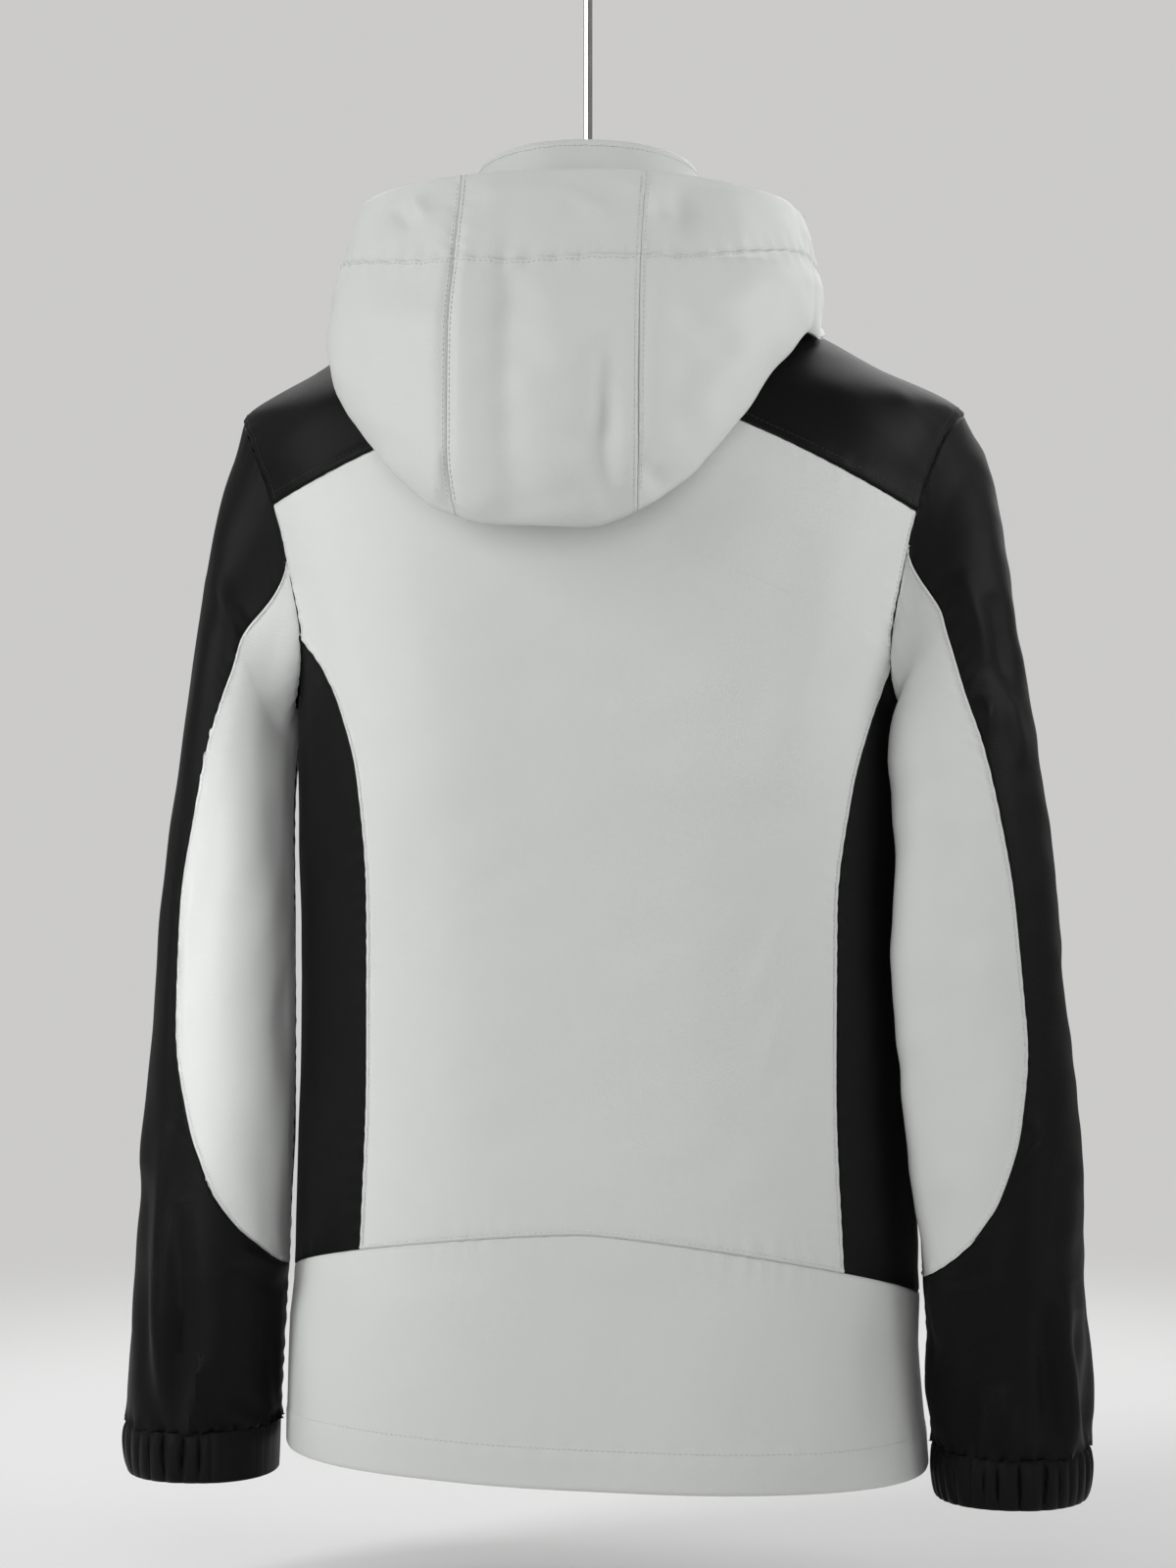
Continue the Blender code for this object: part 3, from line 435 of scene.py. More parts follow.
def add_math(tree, operation, *givens):
    """A Math node; each given is a value or another node's output."""
    node = add(tree, "Math")
    node.operation = operation
    for given, socket in zip(givens, node.inputs):
        if isinstance(given, bpy.types.NodeSocket):
            link(tree, given, socket)
        else:
            socket.default_value = given
    return node.outputs[0]


def add_tint(tree, colour, low, high, factor):
    """Mixes a darker and a lighter tone of one colour."""
    tint = add(tree, "Mix")
    tint.data_type = "RGBA"
    tint.inputs["A"].default_value = (*[c * low for c in colour], 1)
    tint.inputs["B"].default_value = (*[c * high for c in colour], 1)
    link(tree, factor, tint.inputs["Factor"])
    return tint.outputs["Result"]


def add_range(tree, value, **ends):
    """Maps a value onto another range."""
    node = add(tree, "MapRange", **ends)
    link(tree, value, node.inputs["Value"])
    return node.outputs["Result"]


def new_look(name, **values):
    """A material with its node tree and its shader."""
    look = bpy.data.materials.new(name)
    look.use_nodes = True
    shader = look.node_tree.nodes["Principled BSDF"]
    for key, value in values.items():
        shader.inputs[key.replace("_", " ")].default_value = value
    return look, look.node_tree, shader


def weave_group():
    """Plain weave with uneven yarns: a height for the bump and a slow tone across the cloth."""
    group = bpy.data.node_groups.new("plain_weave", "ShaderNodeTree")
    for name, kind, value in (("Pitch", "NodeSocketFloat", WEAVE_PITCH), ("Slub", "NodeSocketFloat", 0.5)):
        socket = group.interface.new_socket(name, in_out="INPUT", socket_type=kind)
        socket.default_value = value
    for name in ("Height", "Tone"):
        group.interface.new_socket(name, in_out="OUTPUT", socket_type="NodeSocketFloat")
    given, out = group.nodes.new("NodeGroupInput"), group.nodes.new("NodeGroupOutput")
    cloth_map = add(group, "UVMap")
    cloth_map.uv_map = "weave"
    place = add(group, "SeparateXYZ")
    link(group, cloth_map.outputs["UV"], place.inputs[0])
    turns = add_math(group, "DIVIDE", math.pi, given.outputs["Pitch"])
    yarns = [add_math(group, "SINE", add_math(group, "MULTIPLY", place.outputs[axis], turns))
             for axis in "XY"]
    crossing = add_math(group, "MULTIPLY", *yarns)
    grain = add(group, "TexNoise", Scale=900, Detail=2)
    slow = add(group, "TexNoise", Scale=22, Detail=4, Roughness=0.62)
    for noise in (grain, slow):
        link(group, cloth_map.outputs["UV"], noise.inputs["Vector"])
    height = add_math(group, "MULTIPLY_ADD", grain.outputs["Fac"], given.outputs["Slub"], crossing)
    link(group, height, out.inputs["Height"])
    link(group, slow.outputs["Fac"], out.inputs["Tone"])
    return group


def cloth_look(name, colour, change, roughness, sheen, bump, slub=0.5, seam_shade=0.94):
    """Woven shell cloth: its colour drifts a little, it carries painted shade along its seams, and it has a
    fine weave.
    """
    look, tree, shader = new_look(name, Sheen_Weight=sheen, Sheen_Roughness=0.45, Specular_IOR_Level=0.12)
    yarns = add(tree, "Group")
    yarns.node_tree = weave
    yarns.inputs["Slub"].default_value = slub
    tone = yarns.outputs["Tone"]
    # Painted shade: the colour is darkened within a few millimetres of seams and folded edges.
    mark = add(tree, "Attribute")
    mark.attribute_name = "near_seam"
    edge = add_range(tree, mark.outputs["Fac"], From_Min=0.0, From_Max=SEAM_SHADE_REACH,
                     To_Min=seam_shade, To_Max=1.0)
    shade = add(tree, "Mix")
    shade.data_type = "RGBA"
    shade.blend_type = "MULTIPLY"
    shade.inputs["Factor"].default_value = 1.0
    link(tree, add_tint(tree, colour, 1 - change, 1 + change, tone), shade.inputs["A"])
    link(tree, edge, shade.inputs["B"])
    gloss = add_range(tree, tone, To_Min=roughness - 0.05, To_Max=roughness + 0.05)
    relief = add(tree, "Bump", Strength=bump, Distance=WEAVE_RELIEF)
    link(tree, yarns.outputs["Height"], relief.inputs["Height"])
    link(tree, shade.outputs["Result"], shader.inputs["Base Color"])
    link(tree, gloss, shader.inputs["Roughness"])
    link(tree, relief.outputs["Normal"], shader.inputs["Normal"])
    return look


def speckled_look(name, colour, scale, tones, gloss, specular=0.5):
    """A solid-coloured material whose tone and gloss change together in fine specks."""
    look, tree, shader = new_look(name, Specular_IOR_Level=specular)
    place, specks = add(tree, "TexCoord"), add(tree, "TexNoise", Scale=scale)
    link(tree, place.outputs["Object"], specks.inputs["Vector"])
    link(tree, add_tint(tree, colour, *tones, specks.outputs["Fac"]), shader.inputs["Base Color"])
    link(tree, add_range(tree, specks.outputs["Fac"], To_Min=gloss[0], To_Max=gloss[1]),
         shader.inputs["Roughness"])
    return look


def thread_look(name, colour):
    """Spun polyester thread."""
    return speckled_look(name, colour, 1500, (0.8, 1.2), (0.45, 0.70), specular=0.4)


weave = weave_group()
pale_cloth = cloth_look("pale_cloth", PALE, 0.012, 0.50, 0.10, 0.35)
pale_thread = thread_look("pale_thread", PALE_THREAD)


def side_seam(cells, reach):
    """The side panel's back seam from the hem panel up to the armhole."""
    foot_angle = torso_angle(reach[0], SIDE_SEAM["height"][0])
    height = run(float(hem_seam_height(foot_angle)), SIDE_TIP, cells)
    angle = torso_angle(smooth(height, SIDE_SEAM["height"], reach), height)
    angle[-1] = armhole(np.array(armhole_turn(SIDE_TIP, True)))[0]
    return np.stack([angle, height], axis=-1)


armhole_corner = armhole_turn(YOKE_CORNER, True)
side_tip_turn = armhole_turn(SIDE_TIP, True)
armhole_back = np.stack(armhole(run(armhole_corner, side_tip_turn, 24)), axis=-1)
side_seams = {1: side_seam(112, SIDE_SEAM["left"]), -1: side_seam(112, SIDE_SEAM["right"])}
back_side = {side: join(seam, armhole_back[::-1]) for side, seam in side_seams.items()}
corner = back_side[1][-1]
share = run(0, 1, 50)
corner_reach = (smooth(corner[1], TORSO["height"], TORSO["half_width"])
                * math.sin(corner[0]) ** (2 / smooth(corner[1], TORSO["height"], TORSO["power"])))
chevron_height = corner[1] + share * (YOKE_PEAK - corner[1]) + YOKE_BOW * np.sin(math.pi * share)
chevron_left = np.stack([torso_angle(corner_reach * (1 - share), chevron_height), chevron_height], axis=-1)
chevron_left[0] = corner
chevron = join(mirrored(chevron_left), chevron_left[::-1])
bottom_angle = run(-side_seams[-1][0, 0], side_seams[1][0, 0], 100)
back_bottom = np.stack([bottom_angle, hem_seam_height(bottom_angle)], axis=-1)


def body_panel(name, grid, look, edges, stitched, seed, rise=0.0007, lines=None,
               inset=STITCH_INSET, thread=None):
    """A panel of the body: the body's surface with its soft drape, folds, sewn edges and topstitching."""
    points, out, _, _ = laid(torso, grid)
    relief, near = sewn(points, edges, stitched, inset)
    inner = ramp(near, 0.03) ** 1.5
    soft = drape(points, 0.11, seed) * rise + 0.35 * rise * drape(points, 0.035, seed + 1)
    relief = relief + inner * soft
    if lines is not None:
        relief = relief + ramp(near, 0.012) * folds(points, lines)
    points = draw_in(points + out * relief[..., None], SEAM_GAP / 2)
    if thread is not None:
        rows = [inset_line(points, out, edge, inset) for edge in stitched.split()]
        sew(name, rows, thread)
    return make_cloth(name, points, near, look)


back_grid = fill(back_bottom, chevron, mirrored(back_side[-1]), back_side[1])
back = body_panel("back_panel_cloth", back_grid, pale_cloth, "bottom top left right", "bottom left right",
                  11, lines=BACK_FOLDS, thread=pale_thread)
wear(back, "back_panel")


# Yoke
# The black yoke carries the shoulders: one piece from the back's peaked seam over both shoulders
# to the shoulder seams in front. It is felled down onto the back with one row of stitching.
NECK_HEIGHT = 0.305
NECK_FRONT_DROP = 0.036
SHOULDER_SEAM_FRONT = 0.214
SHOULDER_SEAM_ANGLE = math.radians(112)
YOKE_INSET = 0.0060
BLACK = (0.0022, 0.0022, 0.0024)
BLACK_THREAD = (0.012, 0.012, 0.013)
YOKE_FOLDS = table("x0 z0 x1 z1 width height",
                   (0.120, 0.245, 0.195, 0.185, 0.010, 0.0014),
                   (0.105, 0.220, 0.155, 0.185, 0.009, -0.0011),
                   (-0.130, 0.245, -0.205, 0.185, 0.010, 0.0016),
                   (-0.110, 0.225, -0.165, 0.188, 0.008, -0.0013),
                   (-0.185, 0.235, -0.212, 0.195, 0.006, 0.0013))


def neck_height(angle):
    return NECK_HEIGHT - NECK_FRONT_DROP * ((1 - np.cos(angle)) / 2) ** 3


black_cloth = cloth_look("black_cloth", BLACK, 0.10, 0.52, 0.02, 0.55, slub=0.8, seam_shade=0.85)
black_thread = thread_look("black_thread", BLACK_THREAD)
yoke_front_turn = armhole_turn(SHOULDER_SEAM_FRONT, False)
yoke_side = np.stack(armhole(run(armhole_corner, yoke_front_turn, 36)), axis=-1)
neck_point = np.array([SHOULDER_SEAM_ANGLE, neck_height(SHOULDER_SEAM_ANGLE)])
shoulder = yoke_side[-1] + run(0, 1, 22)[:, None] * (neck_point - yoke_side[-1])
neck_angle = run(-SHOULDER_SEAM_ANGLE, SHOULDER_SEAM_ANGLE, 56)
neck_back = np.stack([neck_angle, neck_height(neck_angle)], axis=-1)
yoke_top = join(mirrored(shoulder), neck_back, shoulder[::-1])
yoke_grid = fill(chevron, yoke_top, mirrored(yoke_side), yoke_side, 3)
yoke = body_panel("back_yoke_cloth", yoke_grid, black_cloth, "bottom left right", "bottom left right",
                  21, rise=0.0005, lines=YOKE_FOLDS, inset=YOKE_INSET, thread=black_thread)
wear(yoke, "back_yoke")


# Hem panel
# One pale panel runs round the hem from front edge to front edge. Its top is sewn to the back,
# side panels and fronts, and its lower edge is turned up and stitched down all round.
HEM_HEIGHT = -0.407
HEM_TURN_UP = 0.024
HEM_EXTRA = 0.0005
HEM_PULL_LENGTH = 0.017
HEM_PULL_HEIGHT = 0.00035
HEM_GROOVE = 0.0004
EDGE_ROUND = 0.0008
EDGE_WIDTH = 0.0012
SIDE_FRONT_ANGLE = math.radians(118)
HEM_FOLDS = table("x0 z0 x1 z1 width height",
                  (0.165, -0.290, 0.160, -0.400, 0.016, 0.0026),
                  (0.140, -0.280, 0.130, -0.395, 0.014, -0.0022),
                  (0.060, -0.280, 0.050, -0.400, 0.034, 0.0022),
                  (-0.030, -0.280, -0.040, -0.400, 0.030, -0.0018),
                  (-0.140, -0.300, -0.150, -0.405, 0.022, 0.0026),
                  (-0.176, -0.300, -0.180, -0.405, 0.014, -0.0024))

side_bottom = {}
for side, seam in side_seams.items():
    hem_angle = run(seam[0, 0], SIDE_FRONT_ANGLE, 34)
    side_bottom[side] = np.stack([hem_angle, hem_seam_height(hem_angle)], axis=-1)
hem_top = join(mirrored(side_bottom[-1])[::-1], back_bottom, side_bottom[1])
hem_bottom = np.stack([hem_top[:, 0], np.full(len(hem_top), HEM_HEIGHT)], axis=-1)
hem_end = hem_bottom[-1] + run(0, 1, 36)[:, None] * (hem_top[-1] - hem_bottom[-1])


def hem_relief(points):
    """The turned-up hem: thicker cloth below its stitching, with the small pulls that stitching leaves."""
    across, up = lengths(points)
    off = up - HEM_TURN_UP
    thick = HEM_EXTRA / (1 + np.exp(off / 0.0007))
    pulls = np.sin(2 * math.pi * across / HEM_PULL_LENGTH + 1.1 * np.sin(across * 41) + off * 90)
    pulls = HEM_PULL_HEIGHT * pulls * bell(off, 0.009) * (0.6 + 0.4 * np.sin(across * 23))
    return thick + pulls - HEM_GROOVE * bell(off, 0.0010) - EDGE_ROUND * bell(up, EDGE_WIDTH)


hem_points, hem_out, _, _ = laid(torso, fill(hem_bottom, hem_top, mirrored(hem_end), hem_end))
relief, near = sewn(hem_points, "top")
inner = ramp(near, 0.03) ** 1.5
soft = 0.0010 * drape(hem_points, 0.12, 31) + folds(hem_points, HEM_FOLDS)
relief = relief + hem_relief(hem_points) + inner * soft
hem_points = draw_in(hem_points + hem_out * relief[..., None], SEAM_GAP / 2)
hem_row = inset_line(hem_points, hem_out, "bottom", HEM_TURN_UP)
sew("hem_panel_cloth", [hem_row], pale_thread)
hem = make_cloth("hem_panel_cloth", hem_points, near, pale_cloth)
wear(hem, "hem_panel")


# Side panels
# A black panel fills each side from the hem panel to the armhole. Its back seam curves in to the
# waist, and runs out to a narrow tip where it meets the sleeve.
armpit_left = armhole_turn(SIDE_TIP, True)
armpit_right = 2 * math.pi + armhole_turn(SIDE_TIP, False)
armpit = np.stack(armhole(run(armpit_left, armpit_right, 34)), axis=-1)
front_tip = armpit[-1]
rise = run(0, 1, 112)[:, None]
seam_foot = side_bottom[1][-1]
front_seam = seam_foot + rise * (front_tip - seam_foot)
front_seam[:, 0] += math.radians(4) * np.sin(math.pi * rise[:, 0])
for side, hand in ((1, "left"), (-1, "right")):
    side_grid = fill(side_bottom[side], armpit, side_seams[side], front_seam)
    grid = side_grid if side > 0 else mirrored(side_grid)[:, ::-1]
    piece = body_panel("side_panel_%s_cloth" % hand, grid, black_cloth, "bottom top left right", "",
                       40 + side, rise=0.0006)
    wear(piece, "side_panel_" + hand)


# Fronts
# Two pale fronts run from the hem up to the neck, sewn to the side panels, the sleeves and the
# yoke, and to the zip's tape down the middle.
ZIP_WIDTH = 0.0100

armhole_front = np.stack(armhole(run(armpit_right, 2 * math.pi + yoke_front_turn, 46)), axis=-1)
front_edge = join(hem_end, front_seam, armhole_front)
neck_front_angle = run(SHOULDER_SEAM_ANGLE, math.pi, 30)
neck_front = np.stack([neck_front_angle, neck_height(neck_front_angle)], axis=-1)
front_top = join(shoulder, neck_front)
front_bottom_angle = run(SIDE_FRONT_ANGLE, math.pi, len(front_top) - 1)
front_bottom = np.stack([front_bottom_angle, np.full(len(front_top), HEM_HEIGHT)], axis=-1)
middle = front_bottom[-1] + run(0, 1, len(front_edge) - 1)[:, None] * (front_top[-1] - front_bottom[-1])
front_grid = fill(front_bottom, front_top, front_edge, middle)
front_grid[:, -1, 0] = math.pi - torso_angle(ZIP_WIDTH / 2, front_grid[:, -1, 1])
for side, hand in ((1, "left"), (-1, "right")):
    grid = front_grid if side > 0 else mirrored(front_grid)[:, ::-1]
    piece = body_panel("front_%s_cloth" % hand, grid, pale_cloth, "top left right",
                       "right" if side > 0 else "left", 50 + side, rise=0.0011, thread=pale_thread)
    wear(piece, "front_" + hand)


# Collar
# The stand collar is a double pale band, sewn to the neck and folded along its top edge. A fine
# ridge of turned cloth runs just under the fold.
COLLAR_TOP_BACK = 0.383
COLLAR_TOP_FRONT = 0.366
COLLAR_TOP_HALF = (0.0655, 0.0625)
COLLAR_TOP_MIDDLE = -0.002
COLLAR_BULGE = 0.003
COLLAR_THICKNESS = 0.0017
COLLAR_INSET = 0.0042


def collar_surface(angle, rise):
    low = torso(angle, neck_height(angle))
    high = np.stack([COLLAR_TOP_HALF[0] * np.sin(angle),
                     COLLAR_TOP_MIDDLE + COLLAR_TOP_HALF[1] * np.cos(angle),
                     (COLLAR_TOP_BACK + COLLAR_TOP_FRONT) / 2
                     + (COLLAR_TOP_BACK - COLLAR_TOP_FRONT) / 2 * np.cos(angle)], axis=-1)
    rise = np.asarray(rise)[..., None]
    ease = COLLAR_BULGE * np.sin(math.pi * np.clip(rise, 0, 1))
    spread = np.stack([np.sin(angle), np.cos(angle), 0 * angle], axis=-1)
    return low * (1 - rise) + high * rise + ease * spread


collar_angles = join(-neck_front[::-1, 0], neck_angle, neck_front[:, 0])
collar_grid = np.stack(np.meshgrid(collar_angles, run(0, 1, 22)), axis=-1)
for row in collar_grid:
    short = ZIP_WIDTH / 2 / COLLAR_TOP_HALF[0]
    for _ in range(4):
        ends = collar_surface(np.array([math.pi - short, short - math.pi]), row[:2, 1])
        short *= ZIP_WIDTH / (ends[0, 0] - ends[1, 0])
    row[0, 0], row[-1, 0] = short - math.pi, math.pi - short
collar_edge = collar_grid[:, -1]
collar_points, collar_out, _, _ = laid(collar_surface, collar_grid)
relief, near = sewn(collar_points, "bottom top left right", "top left right", COLLAR_INSET)
across, up = lengths(collar_points)
from_top = up[-1:] - up
inner = ramp(np.minimum(near, from_top), 0.012)
relief = relief + 0.0005 * drape(collar_points, 0.05, 61) * inner
collar_points = draw_in(collar_points + collar_out * relief[..., None], SEAM_GAP / 2)
collar_rows = [inset_line(collar_points, collar_out, edge, COLLAR_INSET)
               for edge in ("top", "left", "right")]
sew("collar_cloth", collar_rows, pale_thread)
# The painted seam shade also darkens the collar along its folded top.
collar = make_cloth("collar_cloth", collar_points, np.minimum(near, from_top), pale_cloth, COLLAR_THICKNESS)
wear(collar, "collar")


# Front zip
# A black woven tape joins the fronts and the collar's ends, and carries a closed chain of moulded
# black teeth from the hem to the collar's top.
TOOTH_PITCH = 0.0026
TOOTH_SIZE = (0.0030, 0.0016, 0.0012)
TOOTH_SHIFT = 0.0007
TOOTH_TAPER = 0.8
ZIP_BLACK = (0.014, 0.014, 0.015)
TOOTH_BLACK = (0.016, 0.016, 0.017)
TOOTH_BEVEL = 0.00022

low, high = front_grid[:-1, -1].T, collar_edge.T
tape_left = np.concatenate([torso(*low), collar_surface(*high)])
tape_right = np.concatenate([torso(-low[0], low[1]), collar_surface(-high[0], high[1])])
share = run(0.03, 0.97, 8)[None, :, None]
tape_points = tape_left[:, None] * (1 - share) + tape_right[:, None] * share
upright = np.gradient(tape_left, axis=0)
upright[:, 0] = 0
tape_out = np.cross(upright, np.array([-1.0, 0, 0]))
tape_out /= np.linalg.norm(tape_out, axis=-1, keepdims=True)
tape_points = tape_points - 0.0003 * tape_out[:, None]
zip_tape = cloth_look("zip_tape", ZIP_BLACK, 0.08, 0.70, 0.10, 0.6, slub=0.3, seam_shade=0.9)
tape_near = np.full(tape_points.shape[:2], 0.003)
tape = make_cloth("front_zip_tape", tape_points, tape_near, zip_tape, 0.0008)
wear(tape, "front_zip")

teeth_at = np.cumsum(np.linalg.norm(np.diff(tape_left, axis=0, prepend=tape_left[:1]), axis=1))
tooth_run = np.arange(TOOTH_PITCH, teeth_at[-1] - 0.004, TOOTH_PITCH / 2)
middle_line = tape_points[:, 4]
corner = np.array([(x, y, z) for x in (-1, 1) for y in (0, 1) for z in (-1, 1)], float)
block = [(0, 1, 3, 2), (4, 6, 7, 5), (0, 4, 5, 1), (2, 3, 7, 6), (0, 2, 6, 4), (1, 5, 7, 3)]
tooth_points, tooth_faces = [], []
for k, at in enumerate(tooth_run):
    place, out = at_lengths(at, teeth_at, middle_line), at_lengths(at, teeth_at, tape_out)
    up_way = np.cross(out, [1.0, 0, 0])
    hand = 1 if k % 2 else -1
    half = np.array(TOOTH_SIZE) * [0.5, 1.0, 0.5]
    shift, outer = hand * TOOTH_SHIFT, corner[:, 1] > 0
    sides = corner * half + [shift, 0, 0]
    sides[outer, 0] = (sides[outer, 0] - shift) * TOOTH_TAPER + shift
    tooth_faces += [[8 * k + i for i in face] for face in block]
    tooth_points += [place + [x, 0, 0] + y * out + z * up_way for x, y, z in sides]
teeth = new_piece("front_zip_teeth", np.array(tooth_points), tooth_faces)
select_alone(teeth)
bpy.ops.object.mode_set(mode="EDIT")
bpy.ops.mesh.select_all(action="SELECT")
bpy.ops.mesh.normals_make_consistent(inside=False)
bpy.ops.object.mode_set(mode="OBJECT")
shape_with(teeth, "BEVEL", width=TOOTH_BEVEL, segments=1)
moulded = speckled_look("zip_teeth", TOOTH_BLACK, 420, (0.75, 1.3), (0.30, 0.46))
teeth.data.materials.append(moulded)
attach(teeth, "jacket")


# Sleeves
# Each sleeve is a black piece over the shoulder and outer arm, and a pale leaf-shaped panel let in
# behind it that runs down to a point above the cuff. The cloth is full above the elastic.
SLEEVE_SHIFT = -0.010
LEAF_SEAM_ANGLE = math.radians(190)
SLEEVE_POWER = 0.92
UNDERARM_EASE = 0.0020
LEAF_TURN = 8.0
LEAF_TIP = 9.08
CUFF_GATHERS = 30
GATHER_HEIGHT = 0.0018
TUCK_START = 0.030
TUCK_DEPTH = 0.045
LIFT_START = 7.5
CUFF_LIFT = {1: 0.0140, -1: 0.0078}
JOIN_RINGS = 1.6

# A sleeve, ring by ring: its outermost and innermost points, and its depth behind and before its middle.
# The left sleeve's outer side hangs in by left_in, and the right one's back folds in behind the body.
SLEEVE = table("outer_x outer_z inner_x inner_z back front middle_y left_in right_in",
               (0.2197, 0.222, 0.1895, 0.040, 0.072, 0.066, 0.000, 0.0000, 0.000),
               (0.2345, 0.185, 0.1897, 0.030, 0.070, 0.065, 0.004, 0.0042, 0.020),
               (0.2450, 0.130, 0.1902, 0.019, 0.068, 0.064, 0.010, 0.0048, 0.033),
               (0.2525, 0.080, 0.1905, 0.006, 0.067, 0.063, 0.015, 0.0048, 0.034),
               (0.2600, 0.035, 0.1907, -0.010, 0.067, 0.063, 0.018, 0.0054, 0.031),
               (0.2670, -0.015, 0.1903, -0.034, 0.067, 0.063, 0.021, 0.0066, 0.029),
               (0.2735, -0.070, 0.1895, -0.075, 0.067, 0.064, 0.022, 0.0072, 0.030),
               (0.2800, -0.140, 0.1890, -0.140, 0.068, 0.065, 0.022, 0.0078, 0.027),
               (0.2860, -0.200, 0.1900, -0.200, 0.069, 0.066, 0.021, 0.0084, 0.020),
               (0.2910, -0.290, 0.1935, -0.290, 0.066, 0.064, 0.018, 0.0066, 0.011),
               (0.2940, -0.360, 0.1975, -0.360, 0.058, 0.057, 0.014, 0.0030, 0.005),
               (0.2930, -0.4037, 0.1995, -0.4037, 0.051, 0.050, 0.012, 0.0000, 0.000))
SLEEVE_RINGS = np.arange(len(SLEEVE["back"]), dtype=float)

# The leaf panel's outer seam, as an angle round the sleeve from its outermost line.
LEAF_SEAM = table("ring left right",
                  (0.0, 91, 85), (1.0, 95, 87), (2.0, 92, 81), (3.0, 85, 75), (4.0, 78, 69), (5.0, 72, 64),
                  (6.0, 65, 59), (7.0, 68, 58), (8.0, 84, 69), (8.45, 100, 84), (8.70, 120, 99),
                  (8.88, 144, 118), (9.0, 163, 140), (9.08, 186, 186))

# Soft folds above a cuff: where round the sleeve, how wide, and how high (below zero is a hollow).
CUFF_FOLDS = table("degrees width height",
                   (-62, 17, 0.0022), (-30, 14, -0.0026), (-6, 13, 0.0024), (20, 12, -0.0032),
                   (44, 13, 0.0022), (68, 12, -0.0026), (94, 15, 0.0018), (122, 16, -0.0018))

# Creases of each sleeve, as seen from behind; x is measured out from the sleeve's own side.
ARM_FOLDS = {
    1: table("x0 z0 x1 z1 width height",
             (0.254, -0.200, 0.262, -0.385, 0.0065, 0.0054),
             (0.271, -0.230, 0.272, -0.365, 0.0060, -0.0039),
             (0.245, -0.250, 0.250, -0.388, 0.0060, -0.0051),
             (0.236, -0.340, 0.245, -0.392, 0.0045, 0.0045),
             (0.226, -0.368, 0.206, -0.390, 0.0035, 0.0033),
             (0.214, -0.350, 0.200, -0.384, 0.0040, 0.0027),
             (0.212, -0.275, 0.188, -0.300, 0.0040, 0.0024),
             (0.216, -0.284, 0.192, -0.312, 0.0036, -0.0024),
             (0.230, 0.130, 0.212, 0.085, 0.0080, 0.0033),
             (0.205, 0.060, 0.230, -0.080, 0.0160, -0.0027),
             (0.236, -0.020, 0.246, -0.180, 0.0120, 0.0030)),
    -1: table("x0 z0 x1 z1 width height",
              (0.274, -0.290, 0.282, -0.393, 0.0060, 0.0054),
              (0.284, -0.310, 0.290, -0.390, 0.0045, -0.0039),
              (0.262, -0.300, 0.270, -0.390, 0.0055, -0.0045),
              (0.196, -0.335, 0.206, -0.395, 0.0055, 0.0048),
              (0.226, -0.345, 0.220, -0.396, 0.0045, -0.0048),
              (0.240, -0.350, 0.246, -0.396, 0.0050, 0.0039),
              (0.216, 0.125, 0.232, 0.068, 0.0070, 0.0042),
              (0.232, 0.112, 0.246, 0.048, 0.0060, -0.0036),
              (0.240, 0.064, 0.254, 0.008, 0.0060, 0.0033),
              (0.262, -0.195, 0.246, -0.226, 0.0040, 0.0039),
              (0.258, -0.208, 0.242, -0.236, 0.0036, -0.0033),
              (0.232, 0.052, 0.226, 0.020, 0.0045, 0.0039),
              (0.206, -0.020, 0.212, -0.230, 0.0140, -0.0027))}


def cuff_folds(angle, ring):
    turn = (np.degrees(angle) + 180) % 360 - 180
    fold = sum(height * bell(turn - degrees, width)
               for degrees, width, height in zip(*CUFF_FOLDS.values()))
    return fold * ramp(ring - 9.0, 2) ** 1.3 * ramp(11.25 - ring, 0.8)


def sleeve_surface(side):
    """A sleeve's outside over the angle from its outermost line and the ring."""
    def place(angle, ring):
        row = row_at(SLEEVE, SLEEVE_RINGS, ring)
        out, depth = np.cos(angle), np.sin(angle)
        bend_out, bend_depth = signed_power(out, SLEEVE_POWER), signed_power(depth, SLEEVE_POWER)
        fold = cuff_folds(angle, ring)
        if side > 0:
            row["outer_x"] = row["outer_x"] - row["left_in"]
        half_x = (row["outer_x"] - row["inner_x"]) / 2
        half_z = (row["outer_z"] - row["inner_z"]) / 2
        x = (row["outer_x"] + row["inner_x"]) / 2 + (half_x + fold) * bend_out
        y = row["middle_y"] + (np.where(depth > 0, row["back"], row["front"]) + fold) * bend_depth
        z = (row["outer_z"] + row["inner_z"]) / 2 + half_z * bend_out
        lift = ramp(ring - LIFT_START, SLEEVE_RINGS[-1] - LIFT_START)
        z = z + CUFF_LIFT[side] * lift * lift
        if side < 0:
            behind = ramp(y - TUCK_START, TUCK_DEPTH)
            x = x - row["right_in"] * behind * behind * (3 - 2 * behind) * (1 - out) / 2
        free = np.stack([SLEEVE_SHIFT + side * x, y, z], axis=-1)
        torso_turn, torso_height = armhole(angle)
        seam = torso(side * torso_turn, torso_height)
        seam[..., 0] += side * UNDERARM_EASE * np.sqrt(np.clip(-out, 0, 1))
        top = {name: values[0] for name, values in SLEEVE.items()}
        half_top = [(top["outer_" + axis] - top["inner_" + axis]) / 2 for axis in "xz"]
        start = np.stack([SLEEVE_SHIFT + side * (top["inner_x"] + half_top[0] * (1 + bend_out)),
                          np.where(depth > 0, top["back"], top["front"]) * bend_depth,
                          top["inner_z"] + half_top[1] * (1 + bend_out)], axis=-1)
        fade = np.clip(1 - ring / JOIN_RINGS, 0, 1)[..., None]
        return free + (seam - start) * fade * fade * (3 - 2 * fade)
    return place


